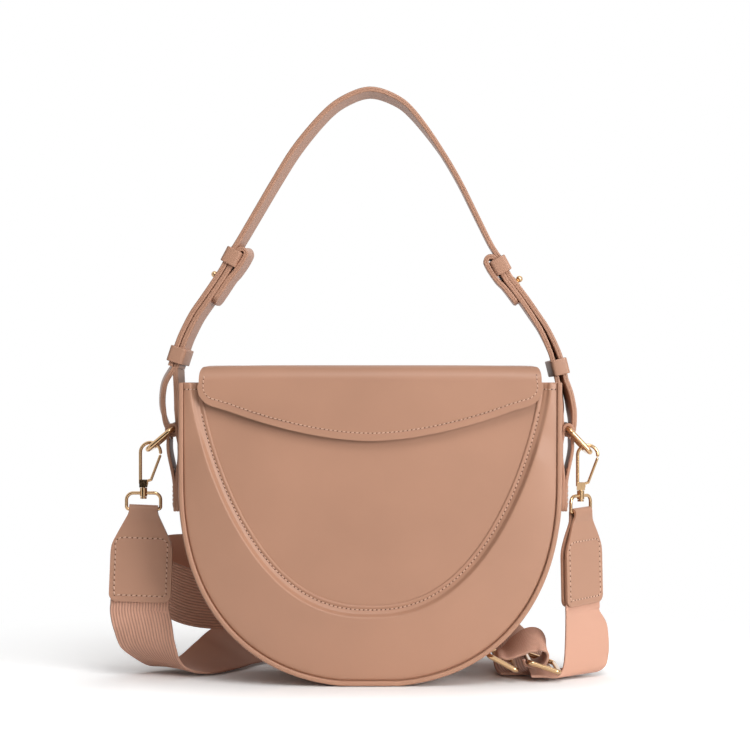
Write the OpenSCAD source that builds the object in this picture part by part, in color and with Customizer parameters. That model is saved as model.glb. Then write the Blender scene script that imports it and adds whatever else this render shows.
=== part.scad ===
// Saddle handbag: two D-shaped leather panels on a gusset, a hinged front flap,
// a top handle on two rings, and a detachable webbing strap on two snap hooks.
// Millimetres. X to the right, front towards -Y, Z up, standing on Z = 0.

/* [Body] */
// Width across the two side edges
body_w = 242; // [220:1:270]
// Height of the front panel's top edge
body_h = 191.5; // [175:0.5:215]
// Depth over both edge bindings
body_d = 77.4; // [66:0.2:95]
// Height at which the straight sides turn into the round bottom
curve_h = 130.4; // [115:0.2:145]
// Flat stretch that the bag stands on
base_flat_w = 36; // [24:1:50]
// Exponent of the round bottom, 2 for an ellipse
curve_power = 2.3; // [2.1:0.05:2.8]

/* [Leather] */
// Thickness of a stiffened panel
panel_t = 2.5; // [2:0.1:3.5]
// Thickness of the padded band on the front panel
overlay_t = 2.2; // [1.5:0.1:3]
// Width of the edge binding seen from the front
rim_w = 3.1; // [2.5:0.1:4]
// How far the binding stands proud of the padded band
rim_proud = 0.5; // [0.3:0.1:1]
// Thickness of the gusset
gusset_t = 2; // [1.5:0.1:3]
// How far the gusset sits inside the binding's edge
gusset_inset = 1.2; // [0.6:0.1:2]
// How far the gusset stops below the panel's top edge
gusset_drop = 10.5; // [8:0.5:14]
// Thickness of the lining
lining_t = 0.8; // [0.6:0.1:1.2]

/* [Padded band] */
// Half width of the bare middle of the front panel at its top
window_half_w = 105.8; // [92:0.2:110]
// Height at which the bare middle ends at the bottom
window_bottom_h = 51; // [40:1:70]

/* [Flap] */
// Width of the flap
flap_w = 217.6; // [200:0.2:220]
// Height from the flap's top down to its lowest point
flap_drop = 47.3; // [40:0.1:60]
// Height from the flap's top down to where its side ends
flap_side_drop = 26; // [22:0.5:30]
// Thickness of the flap's leather
flap_t = 2.2; // [1.8:0.1:3]
// Thickness of the flap's lining
flap_lining_t = 0.6; // [0.4:0.1:1]
// Height of the flap's top above the panel's top edge
flap_rise = 10.5; // [8:0.5:14]
// Inner radius of the bend over the front edge
flap_bend_r = 7; // [5:0.5:9]
// Radius of the flap's lower corners
flap_corner_r = 9; // [6:0.5:12]

/* [Handle] */
// Height of the arch's centreline above the panel's top edge
arch_rise = 187; // [150:0.2:230]
// Distance between the two upper keepers
upper_span = 169.2; // [150:0.2:185]
// Height of the upper keepers above the ring pivots
upper_rise = 108.1; // [95:0.1:120]
// Width of the handle strap
handle_w = 20; // [16:0.5:24]
// Thickness of the handle strap
handle_t = 3.3; // [2.8:0.1:3.6]
// Height of a keeper along the strap
keeper_l = 8; // [6:0.5:10]
// Leather thickness of a keeper
keeper_t = 1.2; // [1:0.1:1.6]

/* [Rings] */
// Wire diameter of a side ring
ring_wire_d = 3.5; // [3:0.1:4]
// Distance between a ring's two bars
ring_len = 20; // [18:0.5:24]
// Clear width of a ring
ring_clear_w = 31; // [30:0.5:36]
// Distance of a ring's held bar outside the body
ring_out = 6; // [5.5:0.1:7]
// Height of a ring's held bar below the panel's top edge
ring_down = 30.1; // [26:0.1:34]
// Angle below level at which the left ring lies
ring_left_angle = 40; // [36:1:46]
// Angle below level at which the right ring lies
ring_right_angle = 47; // [40:1:50]
// Length of a side tab below the ring's bar
tab_len = 53; // [45:1:60]
// Leather thickness of a side tab
tab_t = 2; // [1.6:0.1:2.4]

/* [Snap hooks] */
// Wire diameter of a hook
hook_wire_d = 2.2; // [2:0.1:2.6]
// Inner width of a hook's loop
hook_in_w = 10.8; // [10:0.1:12]
// Height of the hook's straight spine
hook_spine = 20; // [18:0.5:24]
// Wire diameter of a gate
gate_wire_d = 1.8; // [1.6:0.1:2]
// Diameter of a gate's pin
pin_d = 1.6; // [1.4:0.1:1.8]
// Diameter of the swivel's stem
stem_d = 2.4; // [2:0.1:2.8]
// Diameter of the swivel's barrel
barrel_d = 4.8; // [4.4:0.1:5.4]
// Height of the swivel's barrel
barrel_h = 5.6; // [5:0.1:6.5]
// Width of a swivel eye over its wire
eye_w = 24.3; // [22:0.1:27]
// Height of a swivel eye over its wire
eye_h = 12.6; // [11.5:0.1:14]
// Wire diameter of a swivel eye
eye_wire_d = 2.2; // [2:0.1:2.6]

/* [Shoulder strap] */
// Width of the webbing
webbing_w = 38; // [34:1:40]
// Thickness of the webbing
webbing_t = 1.8; // [1.4:0.1:2.2]
// Width of a leather strap end
end_w = 40; // [38:0.5:44]
// Length of a leather strap end
end_len = 63; // [56:1:70]
// Width of a leather strap end at its fold
end_top_w = 18.4; // [16:0.2:20]
// Thickness of a leather strap end over both layers
end_t = 5.2; // [4.8:0.1:6]
// Angle by which the right strap end is turned
end_right_turn = 50; // [30:1:55]
// Wire diameter of the strap's ring and slider
slider_wire_d = 3.2; // [2.6:0.1:3.6]
// Distance between the long bars of the strap's ring
slider_len = 20; // [18:0.5:24]

/* [Closure] */
// Diameter of the magnetic snap
snap_d = 14; // [12:0.5:18]
// Thickness of the snap's socket
socket_t = 1.8; // [1.4:0.1:2]

/* [Hidden] */

tan_leather = [0.72, 0.53, 0.43];
tan_webbing = [0.78, 0.57, 0.47];
dark_cloth = [0.22, 0.16, 0.14];
pale_gold = [0.86, 0.70, 0.48];

// Shared clearances
seat_gap = 0.3;
run_gap = 0.06;
slip_gap = 0.25;
overrun = 1;
strand_gap = 0.4;

// Round features are drawn with these side counts
round_n = 48;
wire_n = 24;

// Places that follow from the body
side_x = body_w / 2;
face_y = body_d / 2 - rim_proud;
panel_front_y = face_y - overlay_t;
panel_back_y = panel_front_y - panel_t;
gusset_top = body_h - gusset_drop;
pivot_x = side_x + ring_out;
pivot_z = body_h - ring_down;

function sum_to(v, n) = n < 0 ? 0 : v[n] + sum_to(v, n - 1);
function flip_x(p) = [for (i = [len(p) - 1:-1:0]) [-p[i][0], p[i][1]]];

// Right half of the bag's outline, from the flat base up to the straight side,
// drawn inwards by an inset. The curve is cut so that it meets the flat base.
outline_n = 16;
function base_half(inset) = base_flat_w / 2;
function curve_b(a, inset) = (curve_h - inset) / pow(1 - pow(base_half(inset) / a, curve_power), 1 / curve_power);
function right_half(inset) =
  let (a = side_x - inset, b = curve_b(a, inset), first = acos(pow(base_half(inset) / a, curve_power / 2)))
  [for (i = [0:outline_n]) let (t = first * (1 - i / outline_n))
    [a * pow(cos(t), 2 / curve_power), curve_h - b * pow(sin(t), 2 / curve_power)]];

module bag_shape(inset, top) {
  half = right_half(inset);
  a = side_x - inset;
  polygon(concat(half, [[a, top], [-a, top]], flip_x(half)));
}

// A flat shape drawn in X and Z, with its thickness from one Y to another
module upright(y_from, y_to) {
  translate([0, y_to, 0]) rotate([90, 0, 0]) linear_extrude(y_to - y_from) children();
}

module front_panel() {
  color(tan_leather) upright(-panel_front_y, -panel_back_y) bag_shape(rim_w, body_h);
}

module back_panel() {
  color(tan_leather) upright(panel_back_y, panel_front_y) back_shape(rim_w, body_h);
}

// The back's shoulders slope, so that the handle's keepers swing past them.
// Places are shares of the body's half width and height.
shoulder_shares = [[0.905, 1], [0.93, 0.955], [0.952, 0.905], [0.97, 0.87], [1, 0.835]];
module shoulders(inset) {
  edge = [for (s = shoulder_shares) [s[0] * side_x - inset, s[1] * body_h - inset / 2]];
  for (s = [-1, 1]) scale([s, 1])
    polygon(concat([[edge[0][0], body_h + 2 * overrun]], edge,
      [[side_x + overrun, last(edge)[1]], [side_x + overrun, body_h + 2 * overrun]]));
}

module back_shape(inset, top) {
  difference() {
    bag_shape(inset, top);
    shoulders(inset);
  }
}

// Binding round the edge of a panel, open along the top
module rim_shape() {
  difference() {
    bag_shape(0, body_h);
    bag_shape(rim_w, body_h + overrun);
  }
}

module front_rim() {
  color(tan_leather) upright(-body_d / 2, -panel_back_y) rim_shape();
}

module back_rim() {
  color(tan_leather) upright(panel_back_y, body_d / 2 - overlay_t) difference() {
    back_shape(0, body_h);
    back_shape(rim_w, body_h + overrun);
  }
}

// Padded band round the bare middle of the front panel
window_n = 20;
window_side_power = 2.4;
window_depth_power = 1.35;
window_top_gap = 4.5;
function window_half() =
  let (top = body_h - window_top_gap, deep = top - window_bottom_h)
  [for (i = [0:window_n]) let (s = 90 * (1 - i / window_n))
    [window_half_w * pow(cos(s), 2 / window_side_power), top - deep * pow(sin(s), 2 / window_depth_power)]];

module window_shape() {
  half = window_half();
  low = [for (i = [1:window_n]) half[i]];
  high = body_h + overrun;
  polygon(concat([[0, window_bottom_h]], low, [[window_half_w, high], [-window_half_w, high]], flip_x(low)));
}

module front_band() {
  color(tan_leather) upright(-face_y, -panel_front_y) difference() {
    bag_shape(rim_w, body_h);
    window_shape();
  }
}

// Both top ends of the gusset slope down at the back, under the swinging handle
notch_d = 10.2;
notch_h = 13.6;
module back_notch(drop) {
  translate([-body_w, 0, 0]) rotate([90, 0, 90]) linear_extrude(2 * body_w)
    polygon([[panel_back_y - notch_d - overrun, gusset_top - drop + overrun * notch_h / notch_d],
      [panel_back_y, gusset_top - drop - notch_h], [panel_back_y + overrun, gusset_top - drop - notch_h],
      [panel_back_y + overrun, gusset_top + 2 * overrun], [panel_back_y - notch_d - overrun, gusset_top + 2 * overrun]]);
}

// Strip round the sides and bottom between the two panels
module gusset() {
  color(tan_leather) difference() {
    upright(-panel_back_y, panel_back_y) bag_shape(gusset_inset, gusset_top);
    upright(-panel_back_y - overrun, panel_back_y + overrun) bag_shape(gusset_inset + gusset_t, gusset_top + overrun);
    back_notch(0);
  }
}

// Sewn lining, a thin bag inside the panels and the gusset
lining_drop = 2;
module lining() {
  inset = gusset_inset + gusset_t + seat_gap;
  deep = panel_back_y - seat_gap;
  top = gusset_top - lining_drop;
  color(dark_cloth) difference() {
    upright(-deep, deep) bag_shape(inset, top);
    upright(lining_t - deep, deep - lining_t) bag_shape(inset + lining_t, top + overrun);
    for (s = [0, 1]) mirror([s, 0, 0]) translate([side_x * 0.93, 0, 0]) intersection() {
      back_notch(lining_drop);
      translate([0, 0, 0]) cube([side_x, body_d, body_h]);
    }
  }
}

// Magnetic snap: the socket is on the front panel and the stud under the flap
snap_below_top = 36;
snap_h = body_h + flap_rise - snap_below_top;
snap_gap = 0.4;
module snap_socket() {
  color(pale_gold) translate([0, -panel_front_y, snap_h]) rotate([90, 0, 0])
    cylinder(h = socket_t, d = snap_d, $fn = round_n);
}

module snap_stud() {
  deep = flap_in_y - panel_front_y - socket_t - snap_gap;
  color(pale_gold) translate([0, deep - flap_in_y, snap_h]) rotate([90, 0, 0])
    cylinder(h = deep, d = snap_d, $fn = round_n);
}

// The flap runs forward from its hinge, bends over the front edge and hangs down
flap_top = body_h + flap_rise;
flap_skin = flap_t + flap_lining_t;
flap_in_y = body_d / 2 + slip_gap * 2;
flap_in_z = flap_top - flap_skin;
hinge_y = body_d / 2 - overlay_t;
hinge_z = flap_top - flap_skin / 2;
bend_n = 8;
function bend(r) =
  [for (i = [0:bend_n]) let (t = 90 + 90 * i / bend_n)
    [flap_bend_r - flap_in_y + r * cos(t), flap_in_z - flap_bend_r + r * sin(t)]];

// Side view of one layer of the flap, between two distances from its inner face
module flap_side(near, far, back_y) {
  low = flap_top - flap_drop - overrun;
  outer = concat([[back_y, flap_in_z + far]], bend(flap_bend_r + far), [[-flap_in_y - far, low]]);
  inner = concat([[back_y, flap_in_z + near]], bend(flap_bend_r + near), [[-flap_in_y - near, low]]);
  polygon(concat(outer, [for (i = [len(inner) - 1:-1:0]) inner[i]]));
}

// Front view of the flap: sides lean in a little, round corners, one shallow curve below
flap_curve_power = 1.75;
flap_taper = 2.2;
flap_low_n = 14;
flap_back_taper = 10.8;
corner_n = 5;
corner_turn = 72;
function flap_half(inset) =
  let (cx = flap_w / 2 - flap_corner_r, cz = flap_top - flap_side_drop + flap_corner_r,
    reach = cx * cos(0) - flap_corner_r * 0.5, rise = flap_drop - flap_side_drop)
  concat(
    [for (i = [0:flap_low_n]) let (x = reach * i / flap_low_n)
      [x, flap_top - flap_drop + inset + rise * pow(x / cx, flap_curve_power)]],
    [for (i = [0:corner_n]) let (t = corner_turn * (i / corner_n - 1))
      [cx + (flap_corner_r - inset) * cos(t), cz + (flap_corner_r - inset) * sin(t)]],
    [[flap_w / 2 - flap_taper - inset, flap_top + overrun]]);

module flap_front(inset) {
  half = flap_half(inset);
  polygon(concat(half, flip_x([for (i = [1:len(half) - 1]) half[i]])));
}

module flap_top_view(inset) {
  half = flap_w / 2;
  back = half - flap_back_taper - inset;
  front = -flap_in_y - flap_skin - overrun;
  polygon([[-back, hinge_y + overrun], [-half, 0], [-half, front], [half, front], [half, 0], [back, hinge_y + overrun]]);
}

module flap_layer(near, far, back_y, inset) {
  intersection() {
    translate([0, 0, flap_top - flap_drop - overrun]) linear_extrude(flap_drop + 2 * overrun) flap_top_view(inset);
    translate([-flap_w / 2, 0, 0]) rotate([90, 0, 90]) linear_extrude(flap_w) flap_side(near, far, back_y);
    upright(-flap_in_y - far - overrun, back_y + overrun) flap_front(inset);
  }
}

module flap_panel() {
  color(tan_leather) union() {
    flap_layer(flap_lining_t, flap_skin, hinge_y, 0);
    translate([-flap_w / 2 + flap_back_taper, hinge_y, hinge_z]) rotate([0, 90, 0])
      cylinder(h = flap_w - 2 * flap_back_taper, d = flap_skin, $fn = round_n);
  }
}

flap_lining_inset = 1.5;
module flap_lining() {
  color(dark_cloth) flap_layer(0, flap_lining_t, hinge_y - flap_skin, flap_lining_inset);
}

// Strip sewn on the back, which ends under the flap's hinge
anchor_h = 34;
anchor_t = 2;
anchor_side_inset = 12;
module flap_anchor() {
  top = hinge_z - flap_skin / 2 - seat_gap;
  w = flap_w - 2 * anchor_side_inset;
  color(tan_leather) translate([-w / 2, panel_front_y, top - anchor_h]) cube([w, anchor_t, anchor_h]);
}

// A strap seen edge-on: a line of points given an even thickness
function along(p, i) =
  let (a = p[max(i - 1, 0)], b = p[min(i + 1, len(p) - 1)], d = b - a) d / norm(d);
function beside(p, i, d) = let (t = along(p, i)) p[i] + d * [t[1], -t[0]];
module strap_line(p, t) {
  polygon(concat([for (i = [0:len(p) - 1]) beside(p, i, t / 2)],
    [for (i = [len(p) - 1:-1:0]) beside(p, i, -t / 2)]));
}

// Smooth curve through points
function spline_at(a, b, c, d, t) =
  0.5 * (2 * b + (c - a) * t + (2 * a - 5 * b + 4 * c - d) * t * t + (3 * b - a - 3 * c + d) * t * t * t);
function smooth(p, n) = concat(
  [for (i = [0:len(p) - 2], k = [0:n - 1])
    spline_at(p[max(i - 1, 0)], p[i], p[i + 1], p[min(i + 2, len(p) - 1)], k / n)], [p[len(p) - 1]]);

// The handle's two sides, left first, each drawn to the right and mirrored.
// Keeper places are shares of the half span or the body's half width and of the
// rises; arch places are shares of the upper keeper's place and of the rise above
// it; strand places run from the upper to the lower keeper.
upper_x = upper_span / 2;
arch_top = body_h + arch_rise;
lower_rise = 45;
upper_shares = [[1.04, 1.018], [0.993, 0.974]];
lower_shares = [[1.017, 1.047], [1, 0.88]];
upper_lean = 28;
lower_leans = [18, 14];
arch_shares = [
  [[0, 1], [0.1875, 0.949], [0.3375, 0.853], [0.533, 0.661], [0.682, 0.469], [0.82, 0.277], [0.959, 0.084]],
  [[0, 1], [0.202, 0.952], [0.344, 0.86], [0.53, 0.675], [0.677, 0.492], [0.8, 0.308], [0.923, 0.123]]];
strand_shares = [
  [[0.28, 0.735], [0.48, 0.571], [0.68, 0.41], [0.834, 0.246]],
  [[0.257, 0.776], [0.408, 0.662], [0.595, 0.507], [0.768, 0.35]]];

// A keeper's own directions: up along the strap, and outwards across it
function up_dir(lean) = [-sin(lean), cos(lean)];
function out_dir(lean) = [cos(lean), sin(lean)];
function upper_mid(i) = [upper_x * upper_shares[i][0], pivot_z + upper_rise * upper_shares[i][1]];
function lower_mid(i) = [side_x * lower_shares[i][0], pivot_z + lower_rise * lower_shares[i][1]];
function between(i, s) =
  let (u = upper_mid(i), l = lower_mid(i)) [u[0] + (l[0] - u[0]) * s[0], l[1] + (u[1] - l[1]) * s[1]];
strand_step = (handle_t + strand_gap) / 2;
spline_n = 3;
function strand_mid(i) = concat(
  [upper_mid(i) + up_dir(upper_lean) * keeper_l, upper_mid(i) - up_dir(upper_lean) * keeper_l],
  [for (s = strand_shares[i]) between(i, s)],
  [lower_mid(i) + up_dir(lower_leans[i]) * keeper_l, lower_mid(i) - up_dir(lower_leans[i]) * keeper_l]);
function shifted(p, d) = [for (i = [0:len(p) - 1]) beside(p, i, d)];
function strand(i, d) = shifted(smooth(strand_mid(i), spline_n), d);
outer_strands = [strand(0, -strand_step), strand(1, -strand_step)];
inner_strands = [strand(0, strand_step), strand(1, strand_step)];
function last(p) = p[len(p) - 1];
function beyond(p, d) = last(p) + d * along(p, len(p) - 1);

function arch_side(i) =
  let (u = upper_mid(i), a = [for (s = arch_shares[i]) [u[0] * s[0], u[1] + (arch_top - u[1]) * s[1]]],
    line = smooth(concat([[-a[1][0], a[1][1]]], a, [outer_strands[i][1]]), spline_n))
  [for (k = [spline_n:len(line) - 1]) line[k]];
function handle_side(i) = concat(arch_side(i), [for (k = [2:len(outer_strands[i]) - 1]) outer_strands[i][k]]);

module across(w) {
  translate([0, w / 2, 0]) rotate([90, 0, 0]) linear_extrude(w) children();
}

// Side 0 is the left one
module on_side(i) {
  mirror([1 - i, 0, 0]) children();
}

module handle_strap() {
  left = handle_side(0);
  line = concat(flip_x([for (k = [1:len(left) - 1]) left[k]]), handle_side(1));
  color(tan_leather) across(handle_w) strap_line(line, handle_t);
}

// Below the lower keeper the strap bulges out, goes through the ring and returns
bulge_shares = [[[6.1, 0.74], [7.6, 0.42], [5.7, 0.14]], [[1.2, 0.68], [3.2, 0.34], [3.7, 0.13]]];
loop_r = ring_wire_d / 2 + slip_gap + handle_t / 2;
loop_turns = 9;
loop_from = 10;
loop_arc = [for (i = [0:loop_turns]) let (t = loop_from - (loop_from + 180) * i / loop_turns)
  [pivot_x + loop_r * cos(t), pivot_z + loop_r * sin(t)]];
function loop_line(i) =
  let (from = last(outer_strands[i]), to = last(inner_strands[i]))
  concat([beyond(outer_strands[i], run_gap)],
    smooth(concat([beyond(outer_strands[i], overrun)],
      [for (s = bulge_shares[i]) [pivot_x + s[0] * side_x / 121, pivot_z + (from[1] - pivot_z) * s[1]]],
      [loop_arc[0]]), spline_n),
    [for (k = [1:loop_turns - 1]) loop_arc[k]],
    smooth([loop_arc[loop_turns], [pivot_x - loop_r, pivot_z + (to[1] - pivot_z) * 0.5],
      beyond(inner_strands[i], overrun)], spline_n),
    [beyond(inner_strands[i], run_gap)]);

module handle_loop(i) {
  color(tan_leather) on_side(i) across(handle_w) strap_line(loop_line(i), handle_t);
}

// The free end runs up beside the strap, folds over the upper keeper and hangs
// down on the inside, where the stud holds it
keeper_half_t = handle_t + strand_gap / 2 + slip_gap + keeper_t;
tail_off = keeper_half_t + slip_gap + run_gap + handle_t / 2;
tail_side = strand_step + handle_t + strand_gap;
tail_fold_r = (tail_off - strand_step) / 2;
tail_fold_up = 5.2;
tail_fold_n = 7;
tail_from = 3;
tail_to = 9;
tail_ease = 1.5;
function tail_top(i) = upper_mid(i) + up_dir(upper_lean) * tail_fold_up - out_dir(upper_lean) * strand_step;
function tail_up(i) = concat(
  [for (k = [len(inner_strands[i]) - 1:-1:1]) inner_strands[i][k]], [tail_top(i)]);
function tail_hang(i) =
  let (m = smooth(strand_mid(i), spline_n))
  [for (k = [tail_from:tail_to]) let (f = 1 - (k - tail_from) / (tail_to - tail_from))
    beside(m, k, tail_side + (tail_off - tail_side) * pow(f, tail_ease))];
function tail_down(i) = concat([inner_strands[i][1], tail_top(i)],
  [for (k = [1:tail_fold_n]) let (t = 180 * k / tail_fold_n)
    tail_top(i) + up_dir(upper_lean) * tail_fold_r * sin(t) - out_dir(upper_lean) * tail_fold_r * (1 - cos(t))],
  [upper_mid(i) - out_dir(upper_lean) * tail_off], tail_hang(i));

module handle_tail(i) {
  color(tan_leather) on_side(i) across(handle_w) union() {
    strap_line(tail_up(i), handle_t);
    strap_line(tail_down(i), handle_t);
  }
}

// Keepers: bands round both strands, with a slot that lets them slide
module keeper_band(i, mid, lean) {
  half = keeper_half_t;
  wide = handle_w / 2 + slip_gap + keeper_t;
  color(tan_leather) on_side(i) translate([mid[0], 0, mid[1]]) rotate([0, -lean, 0]) difference() {
    cube([2 * half, 2 * wide, keeper_l], center = true);
    cube([2 * (half - keeper_t), 2 * (wide - keeper_t), keeper_l + overrun], center = true);
  }
}

// Stud through the layers, seen on the outer face of the strap
stud_place = 5;
stud_head_d = 8;
stud_head_t = 1.4;
module strap_stud(i) {
  place = outer_strands[i][stud_place];
  t = along(outer_strands[i], stud_place);
  color(pale_gold) on_side(i) translate([place[0], 0, place[1]]) rotate([0, atan2(-t[1], t[0]), 0])
    translate([0, 0, handle_t / 2 + 2 * run_gap]) cylinder(h = stud_head_t, d = stud_head_d, $fn = round_n);
}

// Side ring: a wire frame in its own plane, held bar at the origin
ring_corner_r = 3.1;
module frame_corner(len, wide, corner, wire, end) {
  translate([len / 2, 0, 0]) for (b = [0, 1]) mirror([end, 0, 0]) mirror([0, b, 0])
    translate([len / 2 - corner, wide / 2 - corner, 0]) rotate_extrude(angle = 90, $fn = round_n)
      translate([corner, 0]) circle(d = wire, $fn = wire_n);
}

module wire_frame(len, wide, held_corner, corner, wire) {
  union() {
    frame_corner(len, wide, held_corner, wire, 1);
    frame_corner(len, wide, corner, wire, 0);
    rotate([90, 0, 0]) cylinder(h = wide - 2 * held_corner, d = wire, center = true, $fn = wire_n);
    translate([len, 0, 0]) rotate([90, 0, 0])
      cylinder(h = wide - 2 * corner, d = wire, center = true, $fn = wire_n);
    for (s = [-1, 1]) translate([held_corner, s * wide / 2, 0]) rotate([0, 90, 0])
      cylinder(h = len - held_corner - corner, d = wire, $fn = wire_n);
  }
}

module side_ring(side, angle) {
  color(pale_gold) translate([side * pivot_x, 0, pivot_z]) mirror([side < 0 ? 1 : 0, 0, 0])
    rotate([0, angle, 0])
      wire_frame(ring_len, ring_clear_w + ring_wire_d, ring_corner_r, ring_corner_r, ring_wire_d);
}

// Side tab: a folded strip with two ears round the ring's bar, sewn to the gusset
ear_w = 3.4;
tab_w = handle_w + 2 * (strand_gap + ear_w);
tab_r = ring_wire_d / 2 + run_gap + tab_t / 2;
tab_foot = pivot_z - tab_len;
tab_root_share = 0.34;
gusset_x = side_x - gusset_inset;
tab_seat = gusset_x + tab_t / 2 + run_gap;
tab_foot_in = 0.7;
tab_arc_n = 10;
tab_arc = [for (i = [0:tab_arc_n]) let (t = -20 + 220 * i / tab_arc_n)
  [pivot_x + tab_r * cos(t), pivot_z + tab_r * sin(t)]];
tab_line = concat(
  smooth([[tab_seat + tab_t * 0.95 - tab_foot_in, tab_foot], [tab_seat + tab_t * 1.7, pivot_z - tab_len * 0.66],
    [pivot_x + tab_r * 0.45, pivot_z - tab_len * tab_root_share * 0.75], tab_arc[0]], 4),
  [for (i = [1:tab_arc_n - 1]) tab_arc[i]],
  smooth([tab_arc[tab_arc_n], [tab_seat + seat_gap * 2, pivot_z - tab_len * tab_root_share],
    [tab_seat, pivot_z - tab_len * 0.62], [tab_seat - tab_foot_in, tab_foot]], 4));
ear_clear = 2.2;
tab_mid = 8 + tab_arc_n / 2;

module side_tab() {
  slot = handle_w + 2 * strand_gap;
  low = pivot_z - loop_r - handle_t / 2 - ear_clear;
  color(tan_leather) difference() {
    across(tab_w) union() {
      strap_line([for (i = [0:tab_mid]) tab_line[i]], tab_t);
      strap_line([for (i = [tab_mid:len(tab_line) - 1]) tab_line[i]], tab_t);
    }
    translate([gusset_x, -slot / 2, low]) cube([ring_out * 3, slot, tab_len]);
  }
}

// Snap hook. Its loop's centre hangs below the ring's outer bar.
loop_mid_r = (hook_in_w + hook_wire_d) / 2;
bar_in_loop = loop_mid_r - hook_wire_d / 2 - ring_wire_d / 2 - seat_gap * 3;
function bar_place(side, angle) =
  [side * (pivot_x + ring_len * cos(angle)), pivot_z - ring_len * sin(angle)];
function hook_place(side, angle) = bar_place(side, angle) - [0, bar_in_loop];
left_hook = hook_place(-1, ring_left_angle);
right_hook = hook_place(1, ring_right_angle);
axis_back = 4.5;
base_h = 5;
base_w = 5.2;
base_d = 4.6;
knuckle_d = 3.6;
knuckle_w = 2;
base_mid_down = hook_spine;
stem_head_t = 1.2;
stem_head_d = 4.2;

module rod(a, b, d) {
  v = b - a;
  translate(a) rotate([0, acos(v[2] / norm(v)), atan2(v[1], v[0])]) cylinder(h = norm(v), d = d, $fn = wire_n);
}

// Drawn with the loop's centre at the origin, spine on the left
module hook_shape() {
  foot = [-loop_mid_r, 0, -base_mid_down];
  axis_x = -axis_back;
  base_low = -base_mid_down - base_h / 2;
  color(pale_gold) union() {
    rotate([90, 0, 0]) rotate_extrude(angle = 180, $fn = round_n)
      translate([loop_mid_r, 0]) circle(d = hook_wire_d, $fn = wire_n);
    rod(foot, [-loop_mid_r, 0, 0], hook_wire_d);
    sphere_at([loop_mid_r, 0, 0], hook_wire_d);
    difference() {
      translate([axis_x - base_w / 2, -base_d / 2, base_low]) cube([base_w, base_d, base_h]);
      translate([axis_x - base_w / 4, -knuckle_w / 2 - run_gap, -base_mid_down - knuckle_d / 2 - 2 * run_gap])
        cube([base_w, knuckle_w + 2 * run_gap, base_h]);
      translate([axis_x + base_w / 4, 0, -base_mid_down]) rotate([90, 0, 0])
        cylinder(h = base_d + overrun, d = pin_d, center = true, $fn = wire_n);
    }
    translate([axis_x, 0, base_low - barrel_h - 2 * seat_gap]) cylinder(h = barrel_h + 2 * seat_gap, d = stem_d, $fn = wire_n);
    translate([axis_x, 0, base_low - barrel_h - 2 * seat_gap - stem_head_t])
      cylinder(h = stem_head_t, d = stem_head_d, $fn = wire_n);
  }
}

module sphere_at(p, d) {
  translate(p) sphere(d = d, $fn = wire_n);
}

// Gate: turns on its pin at the hook's base and closes under the nose
gate_elbow = [0.4, -17.6];
nose_gap = 0.3;
module gate_shape() {
  pin_x = base_w / 4 - axis_back;
  elbow = [gate_elbow[0], 0, gate_elbow[1]];
  tip = [loop_mid_r - nose_gap, 0, -hook_wire_d / 2 - nose_gap - gate_wire_d / 2];
  color(pale_gold) difference() {
    union() {
      translate([pin_x, 0, -base_mid_down]) rotate([90, 0, 0])
        cylinder(h = knuckle_w, d = knuckle_d, center = true, $fn = round_n);
      rod([pin_x, 0, -base_mid_down + pin_d * 0.75], elbow, gate_wire_d);
      sphere_at(elbow, gate_wire_d);
      rod(elbow, tip, gate_wire_d);
      sphere_at(tip, gate_wire_d);
    }
    translate([pin_x, 0, -base_mid_down]) rotate([90, 0, 0])
      cylinder(h = knuckle_w * 2, d = pin_d + 2 * run_gap, center = true, $fn = wire_n);
  }
}

pin_head_d = 2.6;
pin_head_t = 0.4;
module gate_pin_shape() {
  pin_x = base_w / 4 - axis_back;
  color(pale_gold) translate([pin_x, 0, -base_mid_down]) rotate([90, 0, 0]) union() {
    cylinder(h = base_d, d = pin_d, center = true, $fn = wire_n);
    for (s = [0, 1]) mirror([0, 0, s]) translate([0, 0, base_d / 2])
      cylinder(h = pin_head_t, d = pin_head_d, $fn = wire_n);
  }
}

// Swivel eye: a barrel round the hook's stem and a wire loop for the strap end
eye_low_corner = 1.7;
eye_high_corner = 4.4;
barrel_top = -base_mid_down - base_h / 2 - seat_gap;
eye_bar_down = barrel_top - barrel_h - eye_h + eye_wire_d * 2;
module eye_shape() {
  color(pale_gold) difference() {
    union() {
      translate([0, 0, barrel_top - barrel_h]) cylinder(h = barrel_h, d = barrel_d, $fn = round_n);
      translate([0, 0, eye_bar_down]) rotate([0, 0, 90]) rotate([0, -90, 0])
        wire_frame(eye_h - eye_wire_d, eye_w - eye_wire_d, eye_low_corner, eye_high_corner, eye_wire_d);
    }
    translate([0, 0, barrel_top - barrel_h - overrun]) cylinder(h = barrel_h * 2, d = stem_d + 2 * run_gap, $fn = wire_n);
    translate([0, 0, barrel_top - barrel_h - stem_head_t - seat_gap * 2])
      cylinder(h = stem_head_t + seat_gap * 2, d = stem_head_d + 2 * seat_gap, $fn = wire_n);
  }
}

module at_hook(place) {
  translate([place[0], 0, place[1]]) children();
}

module at_eye(place, turn) {
  translate([place[0] - axis_back, 0, place[1]]) rotate([0, 0, turn]) children();
}

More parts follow.
